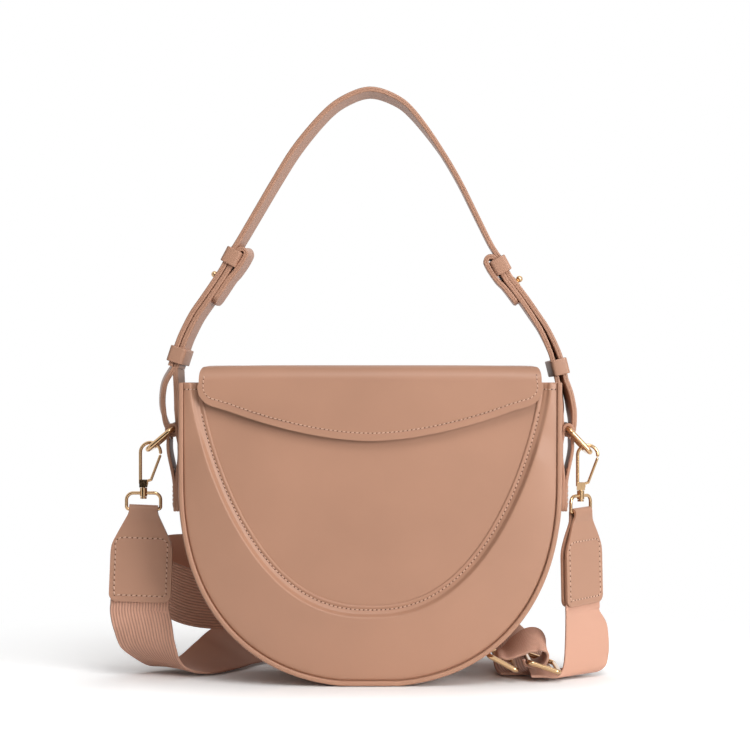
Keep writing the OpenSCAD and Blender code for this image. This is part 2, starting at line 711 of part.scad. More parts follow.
// Leather strap end: folded over the eye's bar, with sloping shoulders and round
// lower corners. Shoulder places are shares of the widening and of the length.
end_neck_share = 0.07;
end_shoulder_shares = [[0, 0], [0.05, 0.03], [0.84, 0.3], [0.93, 0.34], [0.98, 0.38], [1, 0.43]];
end_corner = 5;
end_fold_d = eye_wire_d + 2 * run_gap;
function end_half() =
  let (top_z = eye_wire_d / 2 + run_gap + end_leather, low_z = top_z - end_len, widen = (end_w - end_top_w) / 2)
  concat(
    [[end_top_w / 2, top_z]],
    [for (s = end_shoulder_shares)
      [end_top_w / 2 + widen * s[0], top_z - end_len * (end_neck_share + s[1])]],
    [for (i = [0:4]) let (t = -90 * i / 4)
      [end_w / 2 - end_corner + end_corner * cos(t), low_z + end_corner + end_corner * sin(t)]]);
end_leather = 1.7;

module end_shape() {
  half = end_half();
  polygon(concat(half, flip_x(half)));
}

left_lean = 2.4;
right_lean = -2;
left_turn = 0;
module at_bar(place, turn) {
  at_eye(place, turn) translate([0, 0, eye_bar_down]) children();
}

module strap_end(place, turn, lean) {
  color(tan_leather) difference() {
    at_bar(place, turn) rotate([0, lean, 0]) across(end_t) end_shape();
    at_bar(place, turn) rotate([0, 90, 0]) cylinder(h = end_w, d = end_fold_d, center = true, $fn = wire_n);
  }
}

// Webbing: a flat band along a smooth route. Each row of a route gives the middle
// of the band and the direction across it.
route_steps = 4;
function unit(v) = v / norm(v);
function row_mid(r) = [r[0], r[1], r[2]];
function row_side(r) = [r[3], r[4], r[5]];
function route_dir(r, i) = unit(row_mid(r[min(i + 1, len(r) - 1)]) - row_mid(r[max(i - 1, 0)]));
function route_side(r, i) = let (t = route_dir(r, i), w = row_side(r[i])) unit(w - t * (w * t));
module band(rows, width, thick) {
  r = smooth(rows, route_steps);
  n = len(r);
  corners = [for (i = [0:n - 1])
    let (m = row_mid(r[i]), w = route_side(r, i) * width / 2, u = cross(route_dir(r, i), route_side(r, i)) * thick / 2)
    each [m - w - u, m + w - u, m + w + u, m - w + u]];
  walls = [for (i = [0:n - 2], k = [0:3])
    let (a = 4 * i + k, b = 4 * i + (k + 1) % 4, c = b + 4, d = a + 4) each [[a, b, c], [a, c, d]]];
  caps = [[0, 2, 1], [0, 3, 2], [4 * n - 4, 4 * n - 3, 4 * n - 2], [4 * n - 4, 4 * n - 2, 4 * n - 1]];
  polyhedron(corners, concat([for (f = walls) [f[0], f[2], f[1]]], [for (f = caps) [f[0], f[2], f[1]]]));
}

// Where the webbing leaves a strap end, as a route row
end_low = eye_wire_d / 2 + run_gap + end_leather - end_len;
function end_exit(place, turn, lean, down) =
  let (z = end_low - down, x = z * sin(lean))
  [place[0] - axis_back + x * cos(turn), x * sin(turn), place[1] + eye_bar_down + z * cos(lean),
    cos(turn), sin(turn), 0];

// Route places are shares of the body's half width and half depth and of the
// webbing's width; the last three are the direction across the band. Near the
// body's right side the first place is counted from that side in webbing widths.
function placed(s) = [s[0] * side_x, s[1] * body_d / 2, s[2] * webbing_w, s[3], s[4], s[5]];
function near_side(s) = [side_x + s[0] * webbing_w, s[1] * body_d / 2, s[2] * webbing_w, s[3], s[4], s[5]];
long_route_shares = [
  [-1.2207, 0, 0.9145, 0.9999, 0, -0.0132],
  [-1.1963, 0.0904, 0.5724, 0.9671, -0.2452, 0.0681],
  [-1.1488, 0.2842, 0.3026, 0.831, -0.554, 0.0504],
  [-1.0702, 0.4522, 0.125, 0.7198, -0.6941, -0.0129],
  [-0.9463, 0.7235, 0.1145, 0.7104, -0.684, -0.1657],
  [-0.8326, 1.1628, 0.2474, 0.7173, -0.5414, -0.4385],
  [-0.7397, 1.7054, 0.3605, 0.7023, -0.3121, -0.6398],
  [-0.5455, 2.4289, 0.4474, 0.45, -0.25, -0.85],
  [-0.2479, 2.6873, 0.5132, 0.1, -0.2, -0.97],
  [0.0826, 2.739, 0.5158, 0, -0.12, -0.99],
  [0.3471, 2.6098, 0.5158, 0, -0.05, -1],
  [0.5455, 2.2739, 0.5789, 0.05, 0, -1],
  [0.4959, 1.8605, 0.7368, 0, 0.05, -1],
  [0.2066, 1.6021, 1, 0, 0.08, -1],
  [-0.2479, 1.4729, 1.1316, 0, 0.05, -1],
  [-0.6612, 1.4599, 1.1316, 0, 0.03, -1],
  [-0.9587, 1.4987, 1.1711, 0, 0.05, -1],
  [-1.1322, 1.6279, 1.3684, 0.1, 0.1, -1],
  [-1.2066, 1.938, 1.6053, 0.12, 0, -1],
  [-1.1322, 2.2739, 1.75, 0.05, -0.05, -1],
  [-0.8678, 2.4031, 1.75, 0, -0.05, -1],
  [-0.4132, 2.3514, 1.7368, 0, -0.05, -1],
  [0.0413, 2.2481, 1.7105, 0, -0.05, -1],
  [0.3471, 2.1705, 1.5789, 0.12, 0, -1],
  [0.5785, 2.0672, 1.2632, 0.45, 0.1, -0.85],
  [0.7273, 1.8605, 0.8421, 0.7, 0.35, -0.6],
  [0.8017, 1.4729, 0.4474, 0.86, 0.4, -0.3],
  [0.8223, 0.9819, 0.1842, 0.95, 0.28, -0.1],
  [0.8347, 0.5685, 0.0658, 0.96, 0.2, 0],
  [0.8554, 0.2067, 0.0395, 0.92, 0.4, 0]];
exit_downs = [0.06, 3, 6];
long_route = concat([for (d = exit_downs) end_exit(left_hook, left_turn, left_lean, d)],
  [for (s = long_route_shares) placed(s)]);

module long_webbing() {
  color(tan_webbing) band(long_route, webbing_w, webbing_t);
}

fold_route_shares = [
  [-1.0395, -0.0258, 0.3526, 0, 1, 0],
  [-0.9868, -0.0258, 0.4053, 0, 1, 0],
  [-0.8683, -0.0258, 0.4263, 0, 1, 0],
  [-0.6843, -0.0258, 0.5395, 0, 1, 0.04],
  [-0.4869, -0.0258, 0.6395, 0, 1, 0.06],
  [-0.3159, -0.0258, 0.6368, 0, 1, 0.06],
  [-0.2105, -0.0258, 0.5263, 0, 1, 0.04],
  [-0.2025, -0.0258, 0.3816, 0, 1, 0],
  [-0.2554, -0.0258, 0.2868, 0, 1, 0],
  [-0.3684, -0.0258, 0.2395, 0, 1, 0],
  [-0.4843, -0.0258, 0.2525, 0, 1, 0],
  [-0.5802, -0.0258, 0.292, 0, 1, 0],
  [-0.5974, -0.0258, 0.3737, 0, 1, 0]];
module webbing_fold() {
  color(tan_webbing) band([for (s = fold_route_shares) near_side(s)], webbing_w, webbing_t);
}

short_route_shares = [
  [-0.4738, -0.0517, 0.0934, 0.03, 1, 0.03],
  [-0.2105, -0.0517, 0.0934, 0.08, 1, 0.03],
  [0.0525, -0.0517, 0.0975, 0.15, 0.985, 0],
  [0.2894, -0.0517, 0.135, 0.33, 0.94, 0],
  [0.4738, -0.0465, 0.275, 0.55, 0.83, 0],
  [0.5528, -0.0258, 0.5, 0.62, 0.78, 0],
  [0.5209, 0.0103, 0.8421, 0.63, 0.78, 0]];
short_route = concat([for (s = short_route_shares) near_side(s)],
  [for (k = [2:-1:0]) end_exit(right_hook, end_right_turn, right_lean, exit_downs[k])]);
module short_webbing() {
  color(tan_webbing) band(short_route, webbing_w, webbing_t);
}

// Wire frames on the webbing, lying with their long bars from front to back. The
// slider has a middle bar. Places are shares like those of the routes.
slider_corner_r = 2.4;
slider_wide = webbing_w + 4 + slider_wire_d;
slider_reach = slider_len;
ring_place_share = [-0.2632, -0.026, 0.2579];
slider_place_share = [-0.9605, -0.026, 0.3289];
ring_tip = 18.5;
slider_tip = 28;
module tipped_frame(share, tip) {
  translate([side_x + share[0] * webbing_w, share[1] * body_d / 2, share[2] * webbing_w]) rotate([0, tip, 0])
    translate([-slider_reach / 2, 0, 0])
      wire_frame(slider_reach, slider_wide, slider_corner_r, slider_corner_r, slider_wire_d);
}

module strap_ring() {
  color(pale_gold) tipped_frame(ring_place_share, ring_tip);
}

module strap_slider() {
  share = slider_place_share;
  color(pale_gold) union() {
    tipped_frame(share, slider_tip);
    translate([side_x + share[0] * webbing_w, share[1] * body_d / 2, share[2] * webbing_w]) rotate([90, 0, 0])
      cylinder(h = slider_wide, d = slider_wire_d, center = true, $fn = wire_n);
  }
}

front_panel();
front_band();
front_rim();
back_panel();
back_rim();
gusset();
lining();
snap_socket();
flap_anchor();
mirror([1, 0, 0]) side_tab();  // side_tab_left
side_tab();  // side_tab_right
flap_panel();
flap_lining();
snap_stud();
handle_strap();
handle_loop(0);  // handle_loop_left
handle_loop(1);  // handle_loop_right
handle_tail(0);  // handle_tail_left
handle_tail(1);  // handle_tail_right
keeper_band(0, upper_mid(0), upper_lean);  // upper_keeper_left
keeper_band(1, upper_mid(1), upper_lean);  // upper_keeper_right
keeper_band(0, lower_mid(0), lower_leans[0]);  // lower_keeper_left
keeper_band(1, lower_mid(1), lower_leans[1]);  // lower_keeper_right
strap_stud(0);  // strap_stud_left
strap_stud(1);  // strap_stud_right
side_ring(-1, ring_left_angle);  // ring_left
side_ring(1, ring_right_angle);  // ring_right
at_hook(left_hook) hook_shape();  // hook_left
at_hook(right_hook) hook_shape();  // hook_right
at_hook(left_hook) gate_shape();  // gate_left
at_hook(right_hook) gate_shape();  // gate_right
at_hook(left_hook) gate_pin_shape();  // gate_pin_left
at_hook(right_hook) gate_pin_shape();  // gate_pin_right
at_eye(left_hook, left_turn) eye_shape();  // swivel_eye_left
at_eye(right_hook, end_right_turn) eye_shape();  // swivel_eye_right
strap_end(left_hook, left_turn, left_lean);  // strap_end_left
strap_end(right_hook, end_right_turn, right_lean);  // strap_end_right
long_webbing();
webbing_fold();
short_webbing();
strap_slider();
strap_ring();
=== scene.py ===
# %% [markdown]
# A saddle handbag with a top handle and a webbing shoulder strap. The packed
# model gives every piece its place, in metres, with the front towards -Y. Soft
# pieces are modelled again here in the same place, and the metal stays as it is.

# %% Load the frame
import math

import bpy
import numpy as np
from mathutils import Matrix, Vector


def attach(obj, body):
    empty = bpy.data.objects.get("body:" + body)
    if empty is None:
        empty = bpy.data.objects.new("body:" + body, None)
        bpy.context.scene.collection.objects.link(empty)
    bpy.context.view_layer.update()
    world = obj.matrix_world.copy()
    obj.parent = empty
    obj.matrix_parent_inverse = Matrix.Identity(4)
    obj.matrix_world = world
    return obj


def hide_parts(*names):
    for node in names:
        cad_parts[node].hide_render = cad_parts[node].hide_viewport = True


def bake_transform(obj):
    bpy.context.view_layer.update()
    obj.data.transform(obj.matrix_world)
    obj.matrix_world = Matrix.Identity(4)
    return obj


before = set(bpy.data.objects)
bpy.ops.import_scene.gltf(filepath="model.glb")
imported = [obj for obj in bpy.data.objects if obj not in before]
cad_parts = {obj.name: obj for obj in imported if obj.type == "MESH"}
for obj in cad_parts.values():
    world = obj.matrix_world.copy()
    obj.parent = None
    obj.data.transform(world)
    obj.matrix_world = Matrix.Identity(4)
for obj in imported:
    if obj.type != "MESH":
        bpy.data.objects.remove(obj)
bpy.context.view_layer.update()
MM = 0.001

# %% [markdown]
# The photograph is taken from straight in front with a long lens, level with the
# upper half of the bag, so its sides stay hidden and its lines stay straight.

# %% Camera
PHOTO_DISTANCE = 1.438
PHOTO_WIDTH = 0.4725
camera_data = bpy.data.cameras.new("camera")
camera_data.sensor_width = 36
camera_data.lens = 36 * 1.4 / PHOTO_WIDTH
camera = bpy.data.objects.new("camera", camera_data)
bpy.context.scene.collection.objects.link(camera)
camera.location = (0.003, -PHOTO_DISTANCE, 0.206)
camera.rotation_euler = (math.radians(90 - 0.4), 0, 0)
bpy.context.scene.camera = camera
print("lens", round(camera_data.lens, 1))

# %% [markdown]
# Soft studio light: a wide lamp above the front, a second at the right that
# brightens the right strap end, and weaker ones at the left and behind.

# %% Lamps
def lamp(name, place, size, power, target=(0, 0, 0.12)):
    data = bpy.data.lights.new(name, "AREA")
    data.shape = "DISK"
    data.size = size
    data.energy = power
    item = bpy.data.objects.new(name, data)
    bpy.context.scene.collection.objects.link(item)
    item.location = place
    item.rotation_euler = (Vector(target) - Vector(place)).to_track_quat("-Z", "Y").to_euler()


lamp("lamp_above", (0.3, -1.1, 1.45), 0.9, 12.5)
lamp("lamp_right", (1.0, -1.1, 0.45), 0.7, 15)
lamp("lamp_left", (-1.6, -1.3, 0.7), 1.0, 1)
lamp("lamp_behind", (0.5, 1.3, 1.4), 1.2, 2.5)
print("four lamps")

# %% [markdown]
# Every look below is a tree of shader nodes. A few short functions add a node,
# fill its inputs with numbers or with other nodes' outputs, and build the parts
# that nearly all the materials share.

# %% Shader tools
def fill(tree, entry, value):
    if isinstance(value, bpy.types.NodeSocket):
        tree.links.new(value, entry)
    else:
        entry.default_value = value


def put(tree, kind, *first, **named):
    """A new node. Its first inputs are filled in turn, the others or its settings by name."""
    node = tree.nodes.new(kind)
    for key, value in named.items():
        entry = key.replace("_", " ")
        if entry in node.inputs:
            fill(tree, node.inputs[entry], value)
        else:
            setattr(node, key, value)
    for entry, value in zip(node.inputs, first):
        fill(tree, entry, value)
    return node


def sums(tree, operation, *values):
    return put(tree, "ShaderNodeMath", *values, operation=operation).outputs[0]


def new_material(name, **values):
    made = bpy.data.materials.new(name)
    made.use_nodes = True
    shader = made.node_tree.nodes["Principled BSDF"]
    for key, value in values.items():
        shader.inputs[key.replace("_", " ")].default_value = value
    return made, made.node_tree, shader


def own_place(tree):
    return put(tree, "ShaderNodeTexCoord").outputs["Object"]


def noise(tree, scale, detail=3.0, rough=0.5):
    made = put(tree, "ShaderNodeTexNoise", Vector=own_place(tree), Scale=scale, Detail=detail, Roughness=rough)
    return made.outputs["Fac"]


def shades(tree, factor, colour, low, high):
    """One colour made darker or paler; low and high are each a position and a share."""
    node = put(tree, "ShaderNodeValToRGB", factor)
    for stop, (position, share) in zip(node.color_ramp.elements, (low, high)):
        stop.position = position
        stop.color = (*[min(1, c * share) for c in colour], 1)
    return node.outputs[0]


def uneven_rough(tree, shader, factor, low, high):
    spread = put(tree, "ShaderNodeMapRange", factor, To_Min=low, To_Max=high)
    tree.links.new(spread.outputs[0], shader.inputs["Roughness"])


def bumps(tree, shader, *layers):
    """Each layer is a height, a strength and a distance, laid over the one before."""
    below = {}
    for height, strength, distance in layers:
        node = put(tree, "ShaderNodeBump", Height=height, Strength=strength, Distance=distance, **below)
        below = {"Normal": node.outputs[0]}
    tree.links.new(below["Normal"], shader.inputs["Normal"])


def seen_directly(tree):
    """1 where the ray comes from the camera, a reflection or a view through glass."""
    rays = put(tree, "ShaderNodeLightPath").outputs
    either = sums(tree, "MAXIMUM", rays["Is Camera Ray"], rays["Is Glossy Ray"])
    return sums(tree, "MAXIMUM", either, rays["Is Transmission Ray"])


print("shader tools ready")

# %% [markdown]
# The world gives the rest of the light, more of it from the right. It is white
# only where the camera or a polished surface sees it.

# %% World
world = bpy.data.worlds.new("studio")
bpy.context.scene.world = world
world.use_nodes = True
sky = world.node_tree
plain = sky.nodes["Background"]
plain.inputs["Color"].default_value = (1, 0.99, 0.98, 1)
split = put(sky, "ShaderNodeSeparateXYZ", put(sky, "ShaderNodeTexCoord").outputs["Generated"])
brighter_right = put(sky, "ShaderNodeMapRange", split.outputs["X"], From_Min=-1, To_Min=0.14, To_Max=0.46)
sky.links.new(brighter_right.outputs[0], plain.inputs["Strength"])
white = put(sky, "ShaderNodeBackground", Color=(1, 1, 1, 1), Strength=1)
either = put(sky, "ShaderNodeMixShader", seen_directly(sky), plain.outputs[0], white.outputs[0])
sky.links.new(either.outputs[0], sky.nodes["World Output"].inputs["Surface"])
bpy.context.scene.view_settings.view_transform = "Standard"
print("world ready")

# %% [markdown]
# The floor takes the bag's soft shadow near it and fades to the white of the
# background further out, so that no edge or horizon shows. A glow lifts it where
# the camera sees it, and ambient occlusion dims that glow near the bag, which
# paints a darker contact shadow there.

# %% Floor
def deselect():
    bpy.ops.object.select_all(action="DESELECT")


FLOOR_R, FADE_FROM, FADE_TO = 0.62, 0.22, 0.42
FLOOR_GLOW, SHADOW_AO_DEPTH, SHADOW_AO_POWER = 0.43, 0.07, 3.0
deselect()
bpy.ops.mesh.primitive_circle_add(vertices=96, radius=FLOOR_R, fill_type="NGON", location=(0, 0.03, -0.0004))
floor = bpy.context.object
floor.name = "floor"
bpy.ops.object.transform_apply(location=True, rotation=True, scale=True)
paper, tree, shader = new_material("white_paper", Base_Color=(0.9, 0.9, 0.9, 1), Roughness=0.9,
                                   Specular_IOR_Level=0.1)
# Ambient occlusion dims the floor's glow near the bag: a painted contact shadow.
painted_shadow_ao = put(tree, "ShaderNodeAmbientOcclusion", Distance=SHADOW_AO_DEPTH, samples=8)
unshadowed_share = sums(tree, "POWER", painted_shadow_ao.outputs["AO"], SHADOW_AO_POWER)
lit = sums(tree, "MULTIPLY", seen_directly(tree), FLOOR_GLOW)
glow = put(tree, "ShaderNodeEmission", Color=(1, 1, 1, 1), Strength=sums(tree, "MULTIPLY", lit, unshadowed_share))
near = put(tree, "ShaderNodeAddShader", shader.outputs[0], glow.outputs[0])
pure = put(tree, "ShaderNodeEmission", Color=(1, 1, 1, 1), Strength=1)
flat = put(tree, "ShaderNodeVectorMath", own_place(tree), (1, 1, 0), operation="MULTIPLY")
away = put(tree, "ShaderNodeVectorMath", flat.outputs[0], operation="LENGTH")
fade = put(tree, "ShaderNodeMapRange", away.outputs["Value"], From_Min=FADE_FROM, From_Max=FADE_TO,
           interpolation_type="SMOOTHSTEP")
over = put(tree, "ShaderNodeMixShader", fade.outputs[0], near.outputs[0], pure.outputs[0])
tree.links.new(over.outputs[0], tree.nodes["Material Output"].inputs["Surface"])
floor.data.materials.append(paper)
print("floor radius", FLOOR_R)

# %% [markdown]
# The leather is a smooth coated hide: a satin surface, a very fine grain and a
# slow drift of tone. All of it is made from noise on the piece's own
# coordinates, so it stays put when the piece moves.

# %% Leather
def leather(name, colour, rough=0.42, grain=0.05, shine=0.42):
    made, tree, shader = new_material(name, Specular_IOR_Level=shine)
    drift, fine = noise(tree, 14.0), noise(tree, 2600.0, 4.0, 0.6)
    pores = put(tree, "ShaderNodeTexVoronoi", Vector=own_place(tree), Scale=1500.0)
    speckle = put(tree, "ShaderNodeMix", 0.07, data_type="RGBA", blend_type="MULTIPLY")
    fill(tree, speckle.inputs[6], shades(tree, drift, colour, (0.3, 0.94), (0.72, 1.05)))
    fill(tree, speckle.inputs[7], fine)
    tree.links.new(speckle.outputs[2], shader.inputs["Base Color"])
    uneven_rough(tree, shader, drift, rough - 0.06, rough + 0.08)
    bumps(tree, shader, (pores.outputs["Distance"], grain, 0.00025), (fine, grain * 0.7, 0.0001))
    return made


smooth_hide = leather("smooth_hide", (0.435, 0.23, 0.148))
strap_hide = leather("strap_hide", (0.45, 0.245, 0.163), grain=0.008, shine=0.3)
print("leathers:", smooth_hide.name, strap_hide.name)

# %% [markdown]
# The thread is paler than the hide and a little fuzzy, and each needle hole is a
# small dark disk at the end of a stitch, painted shade where the hole sinks in.
# The lining is a dark cloth. The webbing's ribs come from its mesh, and the
# material paints shade into the grooves between them.

# %% Thread, lining cloth and webbing
def cloth(name, colour, scale, rough=0.9, shade=0.8):
    made, tree, shader = new_material(name, Roughness=rough, Specular_IOR_Level=0.2)
    fuzz = noise(tree, scale)
    tree.links.new(shades(tree, fuzz, colour, (0.35, shade), (0.68, 1)), shader.inputs["Base Color"])
    bumps(tree, shader, (fuzz, 0.5, 0.0003))
    return made


thread = cloth("thread", (0.7, 0.46, 0.345), 3000.0, rough=0.75)
# Needle holes: a dark colour painted as the shade inside each hole.
needle_hole_shade = cloth("needle_hole_shade", (0.11, 0.055, 0.038), 2000.0)
lining_cloth = cloth("lining_cloth", (0.035, 0.024, 0.021), 2400.0, shade=0.6)


WEB_W, WEB_T, RIBS = 38.0, 1.8, 20
RIB_TOP = WEB_W / RIBS / 2
RIB_WAVES = math.pi / 10 / (WEB_W * MM / RIBS)


def webbing_cloth(name, colour):
    """Ribbed weave, with painted shade in the grooves between the ribs. U runs across the band and V along it, both
    in metres.
    """
    made, tree, shader = new_material(name, Roughness=0.72, Specular_IOR_Level=0.25, Sheen_Weight=0.15)
    weave = put(tree, "ShaderNodeUVMap", uv_map="weave").outputs[0]
    rib_wave_and_shade = put(tree, "ShaderNodeTexWave", Vector=weave, Scale=RIB_WAVES, bands_direction="X")
    fuzz = sums(tree, "MULTIPLY", noise(tree, 1500.0), 0.4)
    weave_and_groove_shade = sums(tree, "MULTIPLY_ADD", rib_wave_and_shade.outputs["Fac"], 0.72, fuzz)
    # The rib wave both bumps the ribs and darkens the grooves between them: painted shade.
    tree.links.new(shades(tree, weave_and_groove_shade, colour, (0.2, 0.68), (0.72, 1)), shader.inputs["Base Color"])
    bumps(tree, shader, (weave_and_groove_shade, 0.45, 0.00025))
    return made


ribbed_webbing = webbing_cloth("ribbed_webbing", (0.60, 0.33, 0.235))
print("cloths ready")

# %% [markdown]
# The rings, hooks and studs are zinc castings with a pale gold plate. The plate
# is polished, with faint handling marks that break up the reflections.

# %% Plated metal
def plated(name, colour, rough=0.13):
    made, tree, shader = new_material(name, Metallic=1)
    marks = noise(tree, 260.0)
    tree.links.new(shades(tree, marks, colour, (0.3, 0.9), (0.7, 1)), shader.inputs["Base Color"])
    uneven_rough(tree, shader, marks, rough - 0.03, rough + 0.05)
    bumps(tree, shader, (marks, 0.03, 0.0001))
    return made


warm_gold = plated("warm_gold", (0.66, 0.43, 0.235))
METAL = ["snap_socket", "snap_stud", "strap_slider", "strap_ring"]
for part in ("strap_stud", "ring", "hook", "gate", "gate_pin", "swivel_eye"):
    METAL += [part + "_left", part + "_right"]
for name in METAL:
    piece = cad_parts[name]
    piece.data.materials.clear()
    piece.data.materials.append(warm_gold)
print("metal pieces:", len(METAL))

# %% [markdown]
# A polished bar shows what stands round it, and in a studio that is white lamps
# between dark walls. Three dark cards stand where only reflections see them: they
# paint dark reflections into the metal and dim the leather's sheen at the front left.

# %% Dark cards
def take_last(name, material):
    piece = bpy.context.object
    piece.name = piece.data.name = name
    piece.data.materials.append(material)
    return piece


# Dark colour seen only in reflections: a painted reflection, with nothing real behind it.
reflection_only_dark = new_material("reflection_only_dark", Base_Color=(0.05, 0.045, 0.04, 1), Roughness=1)[0]
for name, place, turn, size in (("card_front", (-1.1, -2.3, 0.6), 26, (1.15, 0.95)),
                                ("card_left", (-2.1, 0.1, 0.4), 92, (0.4, 0.8)),
                                ("card_right", (2.1, 0.0, 0.4), -88, (0.35, 0.8))):
    deselect()
    upright = (math.radians(90), 0, math.radians(-turn))
    bpy.ops.mesh.primitive_plane_add(size=2, location=(0, 0, 0), rotation=upright)
    card = take_last(name, reflection_only_dark)
    card.scale = (*size, 1)
    card.location = place
    bpy.ops.object.transform_apply(location=True, rotation=True, scale=True)
    card.visible_camera = card.visible_diffuse = card.visible_shadow = card.visible_transmission = False
print("dark cards: 3")

# %% [markdown]
# Two ways of shaping serve nearly every piece. A sheet is a grid whose points are
# placed by a rule and then given a thickness. A sweep is a closed section carried
# along a line, like a strap's cut face carried along the strap.

# %% Sheets
CONSISTENT = (bpy.ops.mesh.normals_make_consistent, {"inside": False})


def grid(name, across, along, place, material):
    """place(i, j) gives the point of column i and row j, in metres."""
    deselect()
    bpy.ops.mesh.primitive_grid_add(x_subdivisions=across, y_subdivisions=along, size=2, location=(0, 0, 0))
    piece = take_last(name, material)
    points = [place(i, j) for j in range(along + 1) for i in range(across + 1)]
    piece.data.vertices.foreach_set("co", np.array(points, np.float32).ravel())
    piece.data.update()
    return piece


def select_only(piece):
    deselect()
    bpy.context.view_layer.objects.active = piece
    piece.select_set(True)


def apply_modifier(piece, kind, **values):
    select_only(piece)
    made = piece.modifiers.new(kind.lower(), kind)
    for key, value in values.items():
        setattr(made, key, value)
    bpy.ops.object.modifier_apply(modifier=made.name)


def edit(piece, *steps):
    """Each step is an edit-mode operator with its settings, run on the whole mesh."""
    select_only(piece)
    bpy.ops.object.mode_set(mode="EDIT")
    bpy.ops.mesh.select_all(action="SELECT")
    for operator, values in steps:
        operator(**values)
    bpy.ops.object.mode_set(mode="OBJECT")


def smooth_shade(piece, angle=40):
    select_only(piece)
    bpy.ops.object.shade_smooth_by_angle(angle=math.radians(angle))


def face_outwards(piece):
    edit(piece, (bpy.ops.mesh.remove_doubles, {"threshold": 1e-6}), CONSISTENT)


def middle(faces):
    return faces[len(faces) // 2]


def lowest(faces):
    return min(faces, key=lambda f: f.center.z)


def highest(faces):
    return max(faces, key=lambda f: f.center.z)


def turn_out(piece, which, axis, sign):
    """Makes an open sheet's faces agree, and turns them over if the one picked looks in."""
    edit(piece, CONSISTENT)
    if getattr(which(piece.data.polygons).normal, axis) * sign < 0:
        edit(piece, (bpy.ops.mesh.flip_normals, {}))


def thicken(piece, thick, edge=0.0004, offset=-1, steps=2):
    apply_modifier(piece, "SOLIDIFY", thickness=thick, offset=offset, use_even_offset=True)
    face_outwards(piece)
    if edge:
        apply_modifier(piece, "BEVEL", width=edge, segments=steps, limit_method="ANGLE",
                       angle_limit=math.radians(50), use_clamp_overlap=True)
    smooth_shade(piece)
    return piece


def stand_in(piece, node, body="bag"):
    """The piece takes the place of the node, which is hidden, and moves with the body."""
    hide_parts(node)
    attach(piece, body)
    print(piece.name, "faces:", len(piece.data.polygons))


def clamp(value, low=0, high=1):
    return min(high, max(low, value))


print("sheet tools ready")

# %% Sweeps
def unit(v):
    return v / np.linalg.norm(v)


def spline(points, steps):
    """Smooth curve through points, the same one that the solids use."""
    p = [np.array(q, float) for q in points]
    out = []
    for i in range(len(p) - 1):
        a, b, c, d = p[max(i - 1, 0)], p[i], p[i + 1], p[min(i + 2, len(p) - 1)]
        for k in range(steps):
            t = k / steps
            out.append(0.5 * (2 * b + (c - a) * t + (2 * a - 5 * b + 4 * c - d) * t * t
                              + (3 * b - a - 3 * c + d) * t ** 3))
    return out + [p[-1]]


def strap_section(wide, thick, corner=0.75, seam=0.0):
    """Rounded flat section in mm, with an optional groove where two layers meet."""
    w, h = wide / 2, thick / 2
    corner = min(corner, h * 0.95)
    quarter = []
    for k in range(5):
        t = math.radians(90 * k / 4)
        quarter.append((w - corner + corner * math.cos(t), h - corner + corner * math.sin(t)))
    side = [(w - seam, 0.0), (w, h * 0.16)] if seam else [(w, 0.0)]
    top = quarter + [(w * s, h) for s in (0.8, 0.5, 0.2)]
    half = side + top
    right = half + [(-x, y) for x, y in reversed(top)]
    left = [(-x, y) for x, y in reversed(side)]
    upper = right + left
    lower = [(x, -y) for x, y in reversed(upper[1:-1])]
    return upper + lower


def path_lengths(points):
    steps = np.linalg.norm(np.diff(np.array(points, float), axis=0), axis=1)
    return np.concatenate([[0], np.cumsum(steps)])


def cap_ends(piece):
    edit(piece, (bpy.ops.mesh.select_all, {"action": "DESELECT"}),
         (bpy.ops.mesh.select_non_manifold, {}),
         (bpy.ops.mesh.fill_holes, {"sides": 0}),
         (bpy.ops.mesh.select_all, {"action": "SELECT"}), CONSISTENT)


def sweep(name, rows, section, material, closed=False, scale=None, angle=38, weave=False):
    """rows are (centre, across, out) in mm; section points are (across, out) in mm."""
    n, m = len(rows), len(section)
    shape = np.array(section + [section[0]])

    def place(i, j):
        centre, across, out = rows[j % n]
        s = scale(j / (n - 1)) if scale else (1, 1)
        a, b = shape[i % m]
        return (np.array(centre) + np.array(across) * a * s[0] + np.array(out) * b * s[1]) * MM

    piece = grid(name, m, n if closed else n - 1, place, material)
    if weave:
        layer = piece.data.uv_layers.new(name="weave")
        lengths = path_lengths([row[0] for row in rows])
        for loop in piece.data.loops:
            j, i = divmod(loop.vertex_index, m + 1)
            ribbed = i % m <= m // 2
            layer.data[loop.index].uv = ((shape[i % m][0] if ribbed else RIB_TOP) * MM, lengths[min(j, n - 1)] * MM)
    doubles = (bpy.ops.mesh.remove_doubles, {"threshold": 2e-7})
    if closed:
        edit(piece, doubles)
        face_outwards(piece)
    else:
        edit(piece, doubles,
             (bpy.ops.mesh.select_all, {"action": "DESELECT"}),
             (bpy.ops.mesh.select_non_manifold, {}),
             (bpy.ops.mesh.edge_face_add, {}),
             (bpy.ops.mesh.select_all, {"action": "SELECT"}))
        cap_ends(piece)
    smooth_shade(piece, angle)
    return piece


print("sweep tools ready")

# %% [markdown]
# A seam is a row of equal stitches. One stitch is a short thread with rounded
# ends, copied along the seam with each copy turned to lie on the leather, and a
# dark disk of painted shade marks the needle hole between it and the next.

# %% Stitches
def one_shape(kind, **values):
    deselect()
    kind(**values)
    made = bpy.context.object
    bpy.ops.object.transform_apply(location=True, rotation=True, scale=True)
    points = np.array([v.co for v in made.data.vertices], float)
    faces = [tuple(p.vertices) for p in made.data.polygons]
    bpy.data.objects.remove(made)
    return points, faces


